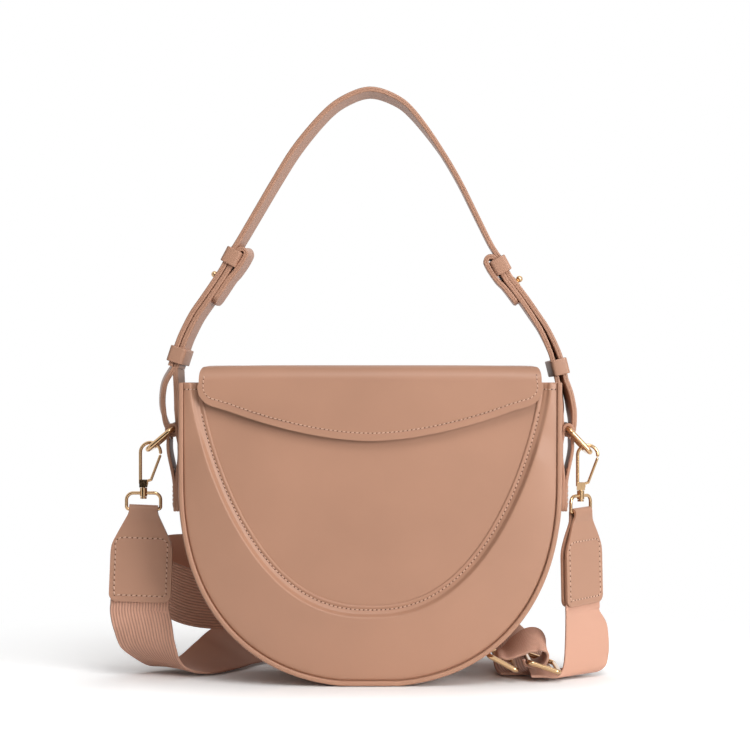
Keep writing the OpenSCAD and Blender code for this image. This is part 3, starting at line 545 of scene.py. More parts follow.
def copies(name, shape, frames, material):
    points, faces = shape
    all_points, all_faces = [], []
    for origin, x, y, z in frames:
        base = len(all_points) * len(points)
        turn = np.array([x, y, z])
        all_points.append(points @ turn + origin)
        all_faces += [tuple(base + k for k in f) for f in faces]
    mesh = bpy.data.meshes.new(name)
    mesh.from_pydata(np.concatenate(all_points).tolist(), [], all_faces)
    mesh.materials.append(material)
    piece = bpy.data.objects.new(name, mesh)
    bpy.context.scene.collection.objects.link(piece)
    smooth_shade(piece, 50)
    return piece


STITCH = one_shape(bpy.ops.mesh.primitive_uv_sphere_add, segments=8, ring_count=6, radius=1)
HOLE = one_shape(bpy.ops.mesh.primitive_cylinder_add, vertices=8, radius=1, depth=1)
seams = []


def even_points(points, pitch):
    p = np.array(points, float)
    total = path_lengths(p)
    count = max(2, int(round(total[-1] / pitch)))
    at = (np.arange(count) + 0.5) * total[-1] / count
    return np.array([[np.interp(s, total, p[:, k]) for k in range(3)] for s in at]), total[-1] / count


SLANT = 0.2
HOLE_LONG, HOLE_WIDE, HOLE_DEEP, HOLE_OVER = 0.42, 0.45, 0.16, 0.02


def seam(name, points, out, body, pitch=2.75, long=2.05, thick=0.78, sink=0.06, hole=1.0, lift=0.0):
    """points are in mm on the leather's face, and out is the way that it looks."""
    line, real = even_points(points, pitch)
    out = np.array(out, float)
    threads, hole_shades = [], []
    for p, along in zip(line, np.gradient(line, axis=0)):
        x = unit(along)
        z = unit(out - x * np.dot(out, x))
        y = np.cross(z, x)
        slant = x * math.cos(SLANT) + y * math.sin(SLANT)
        threads.append(((p + z * (lift - sink)) * MM, slant * long / 2 * MM,
                        np.cross(z, slant) * thick / 2 * MM, z * thick * 0.5 * MM))
        # The needle hole here is a flat dark disk of painted shade, not a real hole.
        q = p + x * real / 2
        hole_shades.append(((q + z * (HOLE_OVER + lift)) * MM, x * HOLE_LONG * hole * MM,
                      y * HOLE_WIDE * hole * MM, z * HOLE_DEEP * MM))
    for piece in (copies(name, STITCH, threads, thread), copies(name + "_holes", HOLE, hole_shades, needle_hole_shade)):
        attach(piece, body)
    seams.append((name, len(threads)))


print("stitch shape:", len(STITCH[1]), "faces")

# %% [markdown]
# The bag's outline is one curve: a flat base, a full round bottom and straight
# sides. Every panel, the binding and the side strip follow it at their own inset.

# %% Outline
SIDE_X, BODY_H, CURVE_H, BASE_HALF, POWER = 121.0, 191.5, 130.4, 18.0, 2.3
PANEL_Y, PANEL_IN_Y, RIM_W = -36.0, -33.5, 3.1


def outline(inset, top=BODY_H, turns=44, sides=10):
    """Right half from the base up, as (x, z) in mm."""
    a = SIDE_X - inset
    b = (CURVE_H - inset) / (1 - (BASE_HALF / a) ** POWER) ** (1 / POWER)
    first = math.acos((BASE_HALF / a) ** (POWER / 2))
    half = []
    for i in range(turns + 1):
        t = first * (1 - i / turns)
        half.append((a * math.cos(t) ** (2 / POWER), CURVE_H - b * math.sin(t) ** (2 / POWER)))
    return half + [(a, CURVE_H + (top - CURVE_H) * k / sides) for k in range(1, sides + 1)]


def whole_outline(inset, top=BODY_H, base_steps=8):
    """From the left top, round the base, to the right top."""
    half = outline(inset, top)
    base = [(half[0][0] * (2 * k / base_steps - 1), half[0][1]) for k in range(1, base_steps)]
    return [(-x, z) for x, z in reversed(half)] + base + half


print("outline points:", len(whole_outline(0)))

# %% [markdown]
# The front panel is one smooth hide stretched over a stiff board. It crowns a
# little in the middle, which is what gives the bag's front its soft gradient.

# %% Front and back panels
FRONT_CROWN, BACK_CROWN, PANEL_T = 1.3, 0.9, 2.3
PANEL_IN = RIM_W - 0.4
SHOULDER = [(0.905, 1), (0.93, 0.955), (0.952, 0.905), (0.97, 0.87), (1, 0.835)]


def crown_at(u, z, high):
    """How far a panel stands out at a share of its half width and at a height."""
    return high * (1 - abs(u) ** 2.4) * math.sin(math.pi * min(1, z / BODY_H * 1.02)) ** 0.8


def shoulder_half(inset):
    """Half width of the back, whose upper corners slope."""
    zs = [s[1] * BODY_H - inset / 2 for s in reversed(SHOULDER)]
    xs = [s[0] * SIDE_X - inset for s in reversed(SHOULDER)]
    return lambda z: float(np.interp(z, zs, xs)) if z > zs[0] else 1e9


def panel(name, y_face, crown, facing, half_at, across=40):
    half = outline(PANEL_IN)

    def place(i, j):
        u = 2 * i / across - 1
        x, z = half[j]
        return (u * min(x, half_at(z)) * MM, (y_face + facing * crown_at(u, z, crown)) * MM, z * MM)

    piece = grid(name, across, len(half) - 1, place, smooth_hide)
    turn_out(piece, middle, "y", facing)
    return thicken(piece, PANEL_T * MM, edge=0.0003)


stand_in(panel("front_panel_leather", PANEL_Y, FRONT_CROWN, -1, lambda z: 1e9), "front_panel")
stand_in(panel("back_panel_leather", -PANEL_Y, BACK_CROWN, 1, shoulder_half(PANEL_IN)), "back_panel")

# %% [markdown]
# The padded band is sewn over the panel. Beside its cut edge it is pressed flat
# under the seam, then a roll of foam lifts it into the ridge that catches the
# light, and it slopes away to the binding.

# %% Padded front band
WINDOW_HALF_W, WINDOW_LOW, WINDOW_TOP = 105.8, 51.0, BODY_H - 4.5
BAND_ROWS, BAND_HIGH, BAND_UNDER_FLAP = 150, 4.5, 2.7
BAND_STEPS = [0, 0.12, 0.4, 0.9, 1.6, 2.3, 2.9, 3.5, 4.2, 5.0, 5.7, 6.4, 7.1, 7.8, 8.6, 9.7, 11.3]
BAND_REST = [0.08, 0.18, 0.3, 0.44, 0.58, 0.72, 0.85, 0.94, 0.985, 1.0]
SEAM_IN = 3.0
PANEL_EDGE_X, PANEL_EDGE_Z = zip(*outline(PANEL_IN))


def window_half(turns=52):
    out = []
    for i in range(turns + 1):
        s = math.radians(90 * (1 - i / turns))
        out.append((WINDOW_HALF_W * math.cos(s) ** (2 / 2.4),
                    WINDOW_TOP - (WINDOW_TOP - WINDOW_LOW) * math.sin(s) ** (2 / 1.35)))
    return out


def resample(points, count):
    p = np.array(points, float)
    total = path_lengths(p)
    at = np.linspace(0, total[-1], count)
    return np.stack([np.interp(at, total, p[:, k]) for k in range(p.shape[1])], 1)


def both_sides(right):
    """A right half that starts in the middle, with its mirror image before it."""
    return [(-x, z) for x, z in reversed(right[1:])] + right


right_window = window_half() + [(WINDOW_HALF_W, BODY_H - 0.2)]
inner_line = resample(both_sides(right_window), BAND_ROWS + 1)
outer_line = resample(whole_outline(RIM_W + 0.1, BODY_H - 0.2), BAND_ROWS + 1)


def band_height(d, room, high):
    """Height over the panel at a distance from the cut edge, in mm."""
    if d < 1.0:
        return 1.0 * math.sqrt(max(0, 1 - (1 - d) ** 2)) + 0.02
    lip = 1.0 + 0.12 * math.cos((d - 1) * 1.4)
    dip = lip - 0.5 * math.exp(-((d - SEAM_IN) / 0.8) ** 2)
    rise = 0.5 - 0.5 * math.cos(math.pi * clamp((d - 5.0) / 2.9))
    top = high - (high - 1.2) * max(0, (d - 8.0) / max(room - 8.0, 1)) ** 1.15
    return dip * (1 - rise) + max(top, 0.9) * rise


def front_crown(x, z):
    half = float(np.interp(z, PANEL_EDGE_Z, PANEL_EDGE_X))
    return crown_at(min(1, abs(x) / max(half, 1)), z, FRONT_CROWN)


def band_room(j):
    """The band's width at a row, and how far its steps are squeezed where it is narrow."""
    room = float(np.linalg.norm(outer_line[j] - inner_line[j]))
    return room, min(1, (room - 3.0) / BAND_STEPS[-1])


def band_point(i, j):
    a, b = inner_line[j], outer_line[j]
    room, squeeze = band_room(j)
    under_flap = clamp((a[1] - 150) / 14)
    high = BAND_HIGH * (1 - under_flap) + BAND_UNDER_FLAP * under_flap
    steps = [s * squeeze for s in BAND_STEPS]
    ds = steps + [steps[-1] + (room - steps[-1]) * s for s in BAND_REST]
    x, z = a + (b - a) * ds[i] / room
    h = band_height(ds[i], room, high)
    if i == len(ds) - 1:
        h = 0.02
    elif i == len(ds) - 2:
        h *= 0.75
    return (x * MM, (PANEL_Y - h - front_crown(x, z)) * MM, z * MM)


band = grid("front_band_leather", len(BAND_STEPS) + len(BAND_REST) - 1, BAND_ROWS, band_point, smooth_hide)
turn_out(band, middle, "y", -1)
apply_modifier(band, "SOLIDIFY", thickness=0.0009, offset=-1)
face_outwards(band)
apply_modifier(band, "SUBSURF", levels=1, render_levels=1)
smooth_shade(band, 60)
stand_in(band, "front_band")

# %% [markdown]
# The seam on the padded band runs along the pressed line beside its cut edge.

# %% Seam on the band
BAND_SEAM_TOP, TOP_SEAM_Z = 176, 187.2
line = []
for j, (a, b) in enumerate(zip(inner_line, outer_line)):
    room, squeeze = band_room(j)
    d = SEAM_IN * squeeze
    x, z = a + (b - a) * d / room
    if a[1] <= BAND_SEAM_TOP:
        line.append((x, PANEL_Y - band_height(d, room, BAND_HIGH) - front_crown(x, z), z))
seam("band_seam", line, (0, -1, 0), "bag", thick=0.86, sink=0.02, lift=0.1)
for side, flip in (("left", -1), ("right", 1)):
    row = []
    for x in np.linspace(WINDOW_HALF_W + 1.5, WINDOW_HALF_W + 11, 12):
        h = band_height(x - WINDOW_HALF_W, 12.0, BAND_UNDER_FLAP)
        row.append((flip * x, PANEL_Y - h - front_crown(x, TOP_SEAM_Z), TOP_SEAM_Z))
    seam("band_top_seam_" + side, row, (0, -1, 0), "bag")
print(seams[-3:])

# %% [markdown]
# A narrow binding is folded round the edge of the front, and another round the
# back. Its rounded face leaves a fine dark groove beside the panel.

# %% Bindings
RIM_MID, RIM_TOP = RIM_W / 2, BODY_H - 0.2
RIM_FRONT, RIM_BACK = 5.2, 3.2


def arc(x, y, r, first, last, steps):
    """Points on an arc from one angle to another, in degrees, both ends included."""
    turns = [math.radians(first + (last - first) * k / steps) for k in range(steps + 1)]
    return [(x + r * math.cos(t), y + r * math.sin(t)) for t in turns]


def rim_section(front):
    """Points as (outwards, forwards), with a full round at the outer front edge."""
    r, small, h = 1.15, 0.8, RIM_MID
    return ([(h, 0), (h, front * 0.5)] + arc(h - r, front - r, r, 0, 90, 6)
            + arc(small - h, front - small, small, 90, 180, 5) + [(-h, front * 0.4), (-h, 0)])


def edge_rows(points, y, forward):
    """Rows along a line in X and Z; the first section axis points outwards."""
    rows = []
    for (x, z), d in zip(points, np.gradient(np.array(points, float), axis=0)):
        d = unit(d)
        rows.append(((x, y, z), (d[1], 0, -d[0]), (0, forward, 0)))
    return rows


def with_shoulders(inset):
    cut = shoulder_half(0)
    out = []
    for x, z in whole_outline(inset, RIM_TOP):
        out.append((math.copysign(min(abs(x), cut(z) - inset), x), z))
    return resample(out, 160)


front_rows = edge_rows(whole_outline(RIM_MID, RIM_TOP), PANEL_IN_Y, -1)
back_rows = edge_rows(with_shoulders(RIM_MID), -PANEL_IN_Y, 1)
stand_in(sweep("front_rim_leather", front_rows, rim_section(RIM_FRONT), smooth_hide, angle=50), "front_rim")
stand_in(sweep("back_rim_leather", back_rows, rim_section(RIM_BACK), smooth_hide, angle=50), "back_rim")

# %% [markdown]
# One long strip of leather makes the sides and the bottom. It sinks a little
# between the two panels, as a soft side does, and its top ends slope down at the
# back to leave room for the handle.

# %% Side strip
GUSSET_TOP, GUSSET_IN, GUSSET_T, GUSSET_DEEP = 181.0, 1.2, 2.0, 33.5
NOTCH_D, NOTCH_H = 10.2, 13.6
TAB_FOOT = 108.4
SIDE_PUFF = 3.4


def gusset_top_at(y):
    return GUSSET_TOP - max(0, (y + NOTCH_D - GUSSET_DEEP) / NOTCH_D) * NOTCH_H


def side_puff(z):
    """How far the soft side stands out at a height, where the tabs hold its top in."""
    up, down = clamp((z - 58) / 40), clamp((156 - z) / 30)
    return SIDE_PUFF * up * up * (3 - 2 * up) * down * down * (3 - 2 * down)


def strip(name, material, inset, deep, top_at, sag=0.0, puff=0.0, across=26):
    """A strip all round the sides and the bottom that sinks between the panels by sag."""
    half = whole_outline(inset, GUSSET_TOP)

    def place(i, j):
        y = deep * (2 * i / across - 1)
        x, z = half[j]
        if z > CURVE_H:
            z = CURVE_H + (z - CURVE_H) * (top_at(y) - CURVE_H) / (GUSSET_TOP - CURVE_H)
        low = clamp((TAB_FOOT - 6 - z) / 40)
        sink = sag * (1 - (y / deep) ** 2) ** 1.5 * low * min(1, z / 30)
        reach = math.hypot(x, z - 70) or 1
        x += math.copysign(puff * side_puff(z) * (1 - (y / deep) ** 4), x) if z > 50 else 0
        return ((x - sink * x / reach) * MM, y * MM, (z - sink * (z - 70) / reach) * MM)

    return grid(name, across, len(half) - 1, place, material)


side_strip = strip("side_strip_leather", smooth_hide, GUSSET_IN, GUSSET_DEEP, gusset_top_at, sag=1.2, puff=1)
turn_out(side_strip, lowest, "z", -1)
stand_in(thicken(side_strip, GUSSET_T * MM, edge=0.0005), "gusset")

# %% [markdown]
# Inside is a dark sewn lining: two cloth faces and a strip between them. Shallow
# waves keep it from looking like board when the flap is open, and its back
# narrows upwards to stay clear of the lower keepers.

# %% Lining
LINING_IN = GUSSET_IN + GUSSET_T + 0.3
LINING_DEEP, LINING_UNDER = 33.2, 2.0


def wave(x, z):
    return 0.45 * (math.sin(x * 0.11 + z * 0.05) * math.sin(z * 0.07 + 1.3) + 1)


def back_half(z):
    """The back face narrows above the strip's low end, behind the sloped shoulders."""
    return float(np.interp(z, [163.5, 165.5, 171, 180.6], [118, 112.5, 110.2, 107.5]))


def lining_face(name, side, across=34):
    half = outline(LINING_IN, GUSSET_TOP - LINING_UNDER)

    def place(i, j):
        u = 2 * i / across - 1
        x, z = half[j]
        if side > 0:
            x = min(x, back_half(z))
        room = 1 - abs(u) ** 6
        return (u * x * MM, side * (LINING_DEEP - wave(u * x, z) * room) * MM, z * MM)

    piece = grid(name, across, len(half) - 1, place, lining_cloth)
    edit(piece, CONSISTENT)
    return piece


lining = strip("lining_leather", lining_cloth, LINING_IN, LINING_DEEP, lambda y: gusset_top_at(y) - LINING_UNDER)
faces = [lining_face("lining_front", -1), lining_face("lining_back", 1)]
select_only(lining)
for piece in faces:
    piece.select_set(True)
bpy.ops.object.join()
lining.name = "lining_pocket"
edit(lining, (bpy.ops.mesh.remove_doubles, {"threshold": 1e-4}))
turn_out(lining, lowest, "z", -1)
stand_in(thicken(lining, 0.0007, edge=0), "lining")

# %% [markdown]
# The flap is one hide that starts as a strip sewn to the back, folds over the
# back's top edge, runs forward, bends over the front and hangs down to a shallow
# curve.

# %% Flap
FLAP_W, FLAP_TOP, FLAP_DROP, FLAP_SIDE_DROP = 217.6, 202.0, 47.3, 26.0
FLAP_T, FLAP_LINING, BEND_R, CORNER_R, BACK_TAPER = 2.2, 0.6, 7.0, 13.0, 10.8
FLAP_IN_Y, HINGE_Y = 39.2, 36.5
FLAP_SKIN = FLAP_T + FLAP_LINING
HINGE_Z = FLAP_TOP - FLAP_SKIN / 2
HANG_Z = FLAP_TOP - FLAP_SKIN - BEND_R
ANCHOR_OUT, FLAP_BULGE = 1.45, 0.8


def flap_lower_edge(inset):
    """Right half of the lower edge, from the middle round the corner, as (x, z)."""
    cx, cz = FLAP_W / 2 - CORNER_R, FLAP_TOP - FLAP_SIDE_DROP + CORNER_R
    reach, rise = cx - CORNER_R * 0.5, FLAP_DROP - FLAP_SIDE_DROP
    xs = [reach * k / 24 for k in range(25)]
    low = [(x, FLAP_TOP - FLAP_DROP + inset + rise * (x / cx) ** 1.75) for x in xs]
    return low + arc(cx, cz, CORNER_R - inset, -72, 0, 12)


def flap_profile(depth):
    """Side view (y, z) at a depth under the outer face, from the back to the bend's end."""
    r = BEND_R + FLAP_SKIN - depth
    run = np.linspace(0, HINGE_Y - BEND_R + FLAP_IN_Y, 22)
    bend = [math.radians(90 * k / 10) for k in range(1, 11)]
    return ([(HINGE_Y - back, FLAP_TOP - depth) for back in run]
            + [(BEND_R - FLAP_IN_Y - r * math.sin(t), HANG_Z + r * math.cos(t)) for t in bend])


def crown(u, y):
    """The flap's top is lifted a little in the middle and falls at both ends."""
    return (0.9 * (1 - abs(u) ** 5) - 0.5) * clamp((12 - y) / 40)


def flap_width_at(y, inset):
    half = FLAP_W / 2
    return half - inset - (BACK_TAPER * y / HINGE_Y if y > 0 else 0)


def flap_bulge(share_down, share_out):
    return FLAP_BULGE * math.sin(math.pi * share_down) ** 2 * (1 - share_out ** 3)


def flap_sheet(name, depth, inset, back_rows, material, across=84, hang=24):
    edge = resample(both_sides(flap_lower_edge(inset)), across + 1)
    profile = flap_profile(depth)
    y_front = -(FLAP_IN_Y + FLAP_SKIN - depth)
    folded = len(back_rows) + len(profile)

    def place(i, j):
        bx, bz = edge[i]
        share = bx / edge[-1][0]
        if j < len(back_rows):
            y, z = back_rows[j]
            return (share * (flap_width_at(HINGE_Y, inset) - 4.4) * MM, y * MM, z * MM)
        if j < folded:
            y, z = profile[j - len(back_rows)]
            turned = clamp((BEND_R - FLAP_IN_Y - y) / (BEND_R + FLAP_SKIN))
            w = flap_width_at(y, inset) - 1.0 - 3.4 * (1 - turned) ** 1.3
            return (share * w * MM, y * MM, (z + crown(share, y)) * MM)
        k = (j - folded + 1) / hang
        wide = share * (flap_width_at(0, inset) - 1.0)
        x = wide + (bx - wide) * k ** 1.3
        z = HANG_Z + crown(share, -30) * (1 - k) + (bz - HANG_Z) * k
        return (x * MM, (y_front - flap_bulge(k, abs(share))) * MM, z * MM)

    piece = grid(name, across, folded + hang - 1, place, material)
    turn_out(piece, highest, "z", 1)
    return piece


CURL_R = 1.4
curl = [(HINGE_Y + CURL_R * math.cos(math.radians(t)), HINGE_Z + CURL_R * math.sin(math.radians(t)))
        for t in (0, 22, 45, 67)]
strip_down = [(HINGE_Y + ANCHOR_OUT, z) for z in np.linspace(165.2, 198.6, 12)]
flap = flap_sheet("flap_leather", 0.0, 0.0, strip_down + curl, smooth_hide)
thicken(flap, 0.0019, edge=0.0006, steps=3)
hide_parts("flap_panel", "flap_anchor")
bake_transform(flap)
print("flap:", len(flap.data.polygons))

# %% Flap lining
flap_lining = flap_sheet("flap_lining_cloth", FLAP_T + 0.02, 1.5, [], lining_cloth, across=60)
stand_in(thicken(flap_lining, 0.00055, edge=0), "flap_lining", "flap")

# %% Seams on the flap
def flap_seam_line(inset_low=5.0, inset_side=3.7):
    """Round the hanging part: down one side, along the lower curve, up the other."""
    low = flap_lower_edge(0.0)
    right = []
    for (x, z), d in zip(low, np.gradient(np.array(low), axis=0)):
        d = unit(d)
        side = abs(d[1])
        inset = inset_low * (1 - side) + inset_side * side
        right.append((x - d[1] * inset, z + d[0] * inset))
    side_x, side_z = right[-1]
    right += [(side_x - 0.1 * k, side_z + (HANG_Z + 4.0 - side_z) * k / 6) for k in range(1, 7)]
    out = []
    for x, z in both_sides(right):
        r = BEND_R + FLAP_SKIN
        y = -(FLAP_IN_Y + FLAP_SKIN) + (r - math.sqrt(max(0, r * r - max(0, z - HANG_Z) ** 2)))
        out.append((x, y - flap_bulge(clamp((HANG_Z - z) / 37), min(1, abs(x) / 106)), z))
    return out


seam("flap_seam", flap_seam_line(), (0, -1, 0), "flap", hole=0.78)
for name, z in (("back_seam_low", 169.0), ("back_seam_high", 173.5)):
    seam(name, [(x, HINGE_Y + ANCHOR_OUT, z) for x in np.linspace(-90, 90, 60)], (0, 1, 0), "bag")
print(seams[-3:])

# %% [markdown]
# The top handle is one long strap. From its arch it runs down through a keeper on
# each side, round the side ring and up again as a shorter tail, which folds over
# the upper keeper and is held by a stud. Its line is drawn here from the same
# shares as the solids, once for each side, because the two sides hang differently.

# %% Handle lines
PIVOT_X, PIVOT_Z = 127.0, 161.4
UPPER_X, UPPER_RISE, LOWER_RISE, ARCH_TOP = 84.6, 108.1, 45.0, 378.5
HANDLE_W, HANDLE_T, KEEPER_L, KEEPER_T, GAP, SLIP = 20.0, 3.3, 8.0, 1.7, 0.4, 0.25
UPPER_LEAN, LOWER_LEAN = 28, (18, 14)
UPPER_SHARES = ((1.04, 1.018), (0.993, 0.974))
LOWER_SHARES = ((1.017, 1.047), (1, 0.88))
ARCH_SHARES = (
    ((0, 1), (0.1875, 0.949), (0.3375, 0.853), (0.533, 0.661), (0.682, 0.469), (0.82, 0.277), (0.959, 0.084)),
    ((0, 1), (0.202, 0.952), (0.344, 0.86), (0.53, 0.675), (0.677, 0.492), (0.8, 0.308), (0.923, 0.123)))
STRAND_SHARES = (
    ((0.28, 0.735), (0.48, 0.571), (0.68, 0.41), (0.834, 0.246)),
    ((0.257, 0.776), (0.408, 0.662), (0.595, 0.507), (0.768, 0.35)))
BULGES = (((6.1, 0.74), (7.6, 0.42), (5.7, 0.14)), ((1.2, 0.68), (3.2, 0.34), (3.7, 0.13)))
STRAND_STEP = (HANDLE_T + GAP) / 2


def up_dir(lean):
    return np.array([-math.sin(math.radians(lean)), math.cos(math.radians(lean))])


def out_dir(lean):
    return np.array([math.cos(math.radians(lean)), math.sin(math.radians(lean))])


def upper_mid(i):
    return np.array([UPPER_X * UPPER_SHARES[i][0], PIVOT_Z + UPPER_RISE * UPPER_SHARES[i][1]])


def lower_mid(i):
    return np.array([SIDE_X * LOWER_SHARES[i][0], PIVOT_Z + LOWER_RISE * LOWER_SHARES[i][1]])


def strand_mid(i):
    high, low = upper_mid(i), lower_mid(i)
    high_run, low_run = up_dir(UPPER_LEAN) * KEEPER_L, up_dir(LOWER_LEAN[i]) * KEEPER_L
    between = [np.array([high[0] + (low[0] - high[0]) * x, low[1] + (high[1] - low[1]) * z])
               for x, z in STRAND_SHARES[i]]
    return [high + high_run, high - high_run] + between + [low + low_run, low - low_run]


def heading(p, k):
    """Direction of a line at its point k, from the points on both sides."""
    return unit(p[min(k + 1, len(p) - 1)] - p[max(k - 1, 0)])


def beside(t, d):
    """A step of d to the right of the direction t."""
    return d * np.array([t[1], -t[0]])


middles = [spline(strand_mid(i), 3) for i in (0, 1)]
outer, inner = ([[m[k] + beside(heading(m, k), d) for k in range(len(m))] for m in middles]
                for d in (-STRAND_STEP, STRAND_STEP))


def handle_side(i):
    """Half of the handle, from the arch's top down its outer strand."""
    u = upper_mid(i)
    a = [np.array([u[0] * x, u[1] + (ARCH_TOP - u[1]) * z]) for x, z in ARCH_SHARES[i]]
    return spline([a[1] * (-1, 1)] + a + [outer[i][1]], 3)[3:] + outer[i][2:]


print("handle points:", [len(handle_side(i)) for i in (0, 1)])

# %% [markdown]
# A strap held flat by its keepers still turns a little along its length. In the
# photograph the left side shows its inner face and the arch shows its underside,
# so the section is turned about the strap's own line, most at the left.

# %% Handle rows
def turn_at(x, z):
    """Turn of the strap's section in degrees, from the place on the handle."""
    left = float(np.interp(z, [160, 174, 205, 265, 340, 380], [0, -8, -9, -8.5, -10, -8]))
    right = float(np.interp(z, [160, 174, 200, 235, 265, 340, 380], [0, -7, -6, 0, 2.0, 1.0, -8]))
    share = clamp((x + 45) / 90)
    share = share * share * (3 - 2 * share)
    return left * (1 - share) + right * share


Y_AXIS = np.array([0, 1, 0.0])
SIDES, FLIPS = ("left", "right"), (-1, 1)


def strap_rows(points, smooth_steps=3, folded=False):
    """A folded strap turns the other way about its line once it runs back down."""
    p = [np.array(q, float) for q in spline(points, smooth_steps)]
    rows = []
    for k in range(len(p)):
        t = heading(p, k)
        along = np.array([t[0], 0, t[1]])
        out = np.cross(along, Y_AXIS)
        turn = math.radians(turn_at(*p[k])) * (clamp(t[1] * 1.3, -1) if folded else 1)
        w = math.cos(turn) * Y_AXIS + math.sin(turn) * out
        rows.append(((p[k][0], 0, p[k][1]), w, np.cross(along, w)))
    return rows


def mirrored(points, i):
    """The lines are drawn as if at the right; side 0 is the left one."""
    return [np.array([FLIPS[i] * q[0], q[1]]) for q in points]


STRAP_SECTION = strap_section(HANDLE_W, HANDLE_T, 0.7, seam=0.22)
handle_points = mirrored(handle_side(0), 0)[::-1][:-1] + handle_side(1)
stand_in(sweep("handle_strap_leather", strap_rows(handle_points), STRAP_SECTION, strap_hide),
         "handle_strap", "handle")

# %% [markdown]
# Below each lower keeper the strap bows outwards, turns round the ring and comes
# back.

# %% Loops at the rings
RING_WIRE = 3.5
LOOP_R = RING_WIRE / 2 + SLIP + HANDLE_T / 2


def loop_line(i):
    start, end = outer[i][-1], inner[i][-1]
    turn = [np.array(q) for q in arc(PIVOT_X, PIVOT_Z, LOOP_R, 10, -180, 9)]
    bulge = [np.array([PIVOT_X + x, PIVOT_Z + (start[1] - PIVOT_Z) * z]) for x, z in BULGES[i]]
    half_up = np.array([PIVOT_X - LOOP_R, PIVOT_Z + (end[1] - PIVOT_Z) * 0.5])
    down = spline([start + unit(start - outer[i][-2])] + bulge + [turn[0]], 3)
    up = spline([turn[-1], half_up, end + unit(end - inner[i][-2])], 3)
    return [start] + down + turn[1:-1] + up + [end]


for i, side in enumerate(SIDES):
    piece = sweep("handle_loop_" + side + "_leather", strap_rows(mirrored(loop_line(i), i), 2),
                  STRAP_SECTION, strap_hide)
    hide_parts("handle_loop_" + side)
    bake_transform(piece)
    print(piece.name, "faces:", len(piece.data.polygons))

# %% [markdown]
# The tail runs up beside the strap, folds over the upper keeper and hangs down on
# the inside to a rounded end.

# %% Tails
KEEPER_HALF = HANDLE_T + GAP / 2 + SLIP + KEEPER_T
TAIL_OFF = KEEPER_HALF + SLIP + 0.06 + HANDLE_T / 2
TAIL_SIDE = STRAND_STEP + HANDLE_T + 0.15
TAIL_UP, TAIL_TIP = 5.2, 4.0
HANG_SHARES = (0.5, 0.08, 0, 0, 0, 0, 0)


def tail_line(i):
    up, out = up_dir(UPPER_LEAN), out_dir(UPPER_LEAN)
    top = upper_mid(i) + up * TAIL_UP - out * STRAND_STEP
    r = (TAIL_OFF - STRAND_STEP) / 2
    turns = [math.radians(180 * k / 7) for k in range(1, 8)]
    fold = [top + up * r * math.sin(t) - out * r * (1 - math.cos(t)) for t in turns]
    m = middles[i]
    hang = [m[k] + beside(heading(m, k), TAIL_SIDE + (TAIL_OFF - TAIL_SIDE) * share)
            for k, share in enumerate(HANG_SHARES, 3)]
    return inner[i][:0:-1] + [top] + fold + [upper_mid(i) - out * TAIL_OFF] + hang


def tongue(length):
    """Narrows the last stretch of a strap to a half round."""
    def scale(share):
        left = (1 - share) * length
        if left >= TAIL_TIP:
            return (1, 1)
        t = 1 - left / TAIL_TIP
        return (max(0.06, math.sqrt(max(0, 1 - t * t))), 1 if left > 0.6 else 0.7)
    return scale


for i, side in enumerate(SIDES):
    rows = strap_rows(mirrored(tail_line(i), i), 3, folded=side == "left")
    length = path_lengths([row[0] for row in rows])[-1]
    tail = sweep("handle_tail_" + side + "_leather", rows, STRAP_SECTION, strap_hide, scale=tongue(length))
    stand_in(tail, "handle_tail_" + side, "handle")

# %% [markdown]
# Each keeper is a short leather band closed round both layers of the strap.

# %% Keepers
KEEPER_SHOWN = KEEPER_L * 1.3


def on_strap(i, mid, up):
    """The strap at a point of one side, in 3-D: the point, along it, out of its face, across it."""
    turn = math.radians(turn_at(FLIPS[i] * mid[0], mid[1]))
    out = np.array([FLIPS[i] * up[1], 0, -up[0]])
    return (np.array([FLIPS[i] * mid[0], 0, mid[1]]), np.array([FLIPS[i] * up[0], 0, up[1]]),
            math.cos(turn) * out - math.sin(turn) * Y_AXIS, math.cos(turn) * Y_AXIS + math.sin(turn) * out)


def keeper(name, i, mid, lean, body):
    half, wide, r = KEEPER_HALF - KEEPER_T / 2, HANDLE_W / 2 + SLIP + KEEPER_T / 2, 1.5
    centre, up, out, across = on_strap(i, mid, up_dir(lean))
    rows = []
    for cx, cy, start in ((half - r, wide - r, 0), (-half + r, wide - r, 90),
                          (-half + r, -wide + r, 180), (half - r, -wide + r, 270)):
        for k in range(6):
            t = math.radians(start + 90 * k / 5)
            rows.append((centre + out * (cx + r * math.cos(t)) + across * (cy + r * math.sin(t)), up,
                         out * math.cos(t) + across * math.sin(t)))
    section = strap_section(KEEPER_SHOWN, KEEPER_T, 0.6)
    stand_in(sweep(name + "_leather", rows, section, strap_hide, closed=True, angle=45), name, body)


for i, side in enumerate(SIDES):
    keeper("upper_keeper_" + side, i, upper_mid(i), UPPER_LEAN, "handle")
    keeper("lower_keeper_" + side, i, lower_mid(i), LOWER_LEAN[i], "keeper_" + side)

# %% [markdown]
# A small ball stud holds the layers together on the outer face of each side. It
# is turned metal, so its profile is drawn once and carried round its own axis.

# %% Studs
def turned_piece(name, profile, centre, axis, side, material, around=28):
    """profile is (distance along the axis, radius) in mm, from one pole to the other."""
    third = np.cross(axis, side)

    def place(i, j):
        along, r = profile[j]
        t = 2 * math.pi * i / around
        return (centre + axis * along + (side * math.cos(t) + third * math.sin(t)) * r) * MM

    piece = grid(name, around, len(profile) - 1, place, material)
    face_outwards(piece)
    smooth_shade(piece, 35)
    return piece


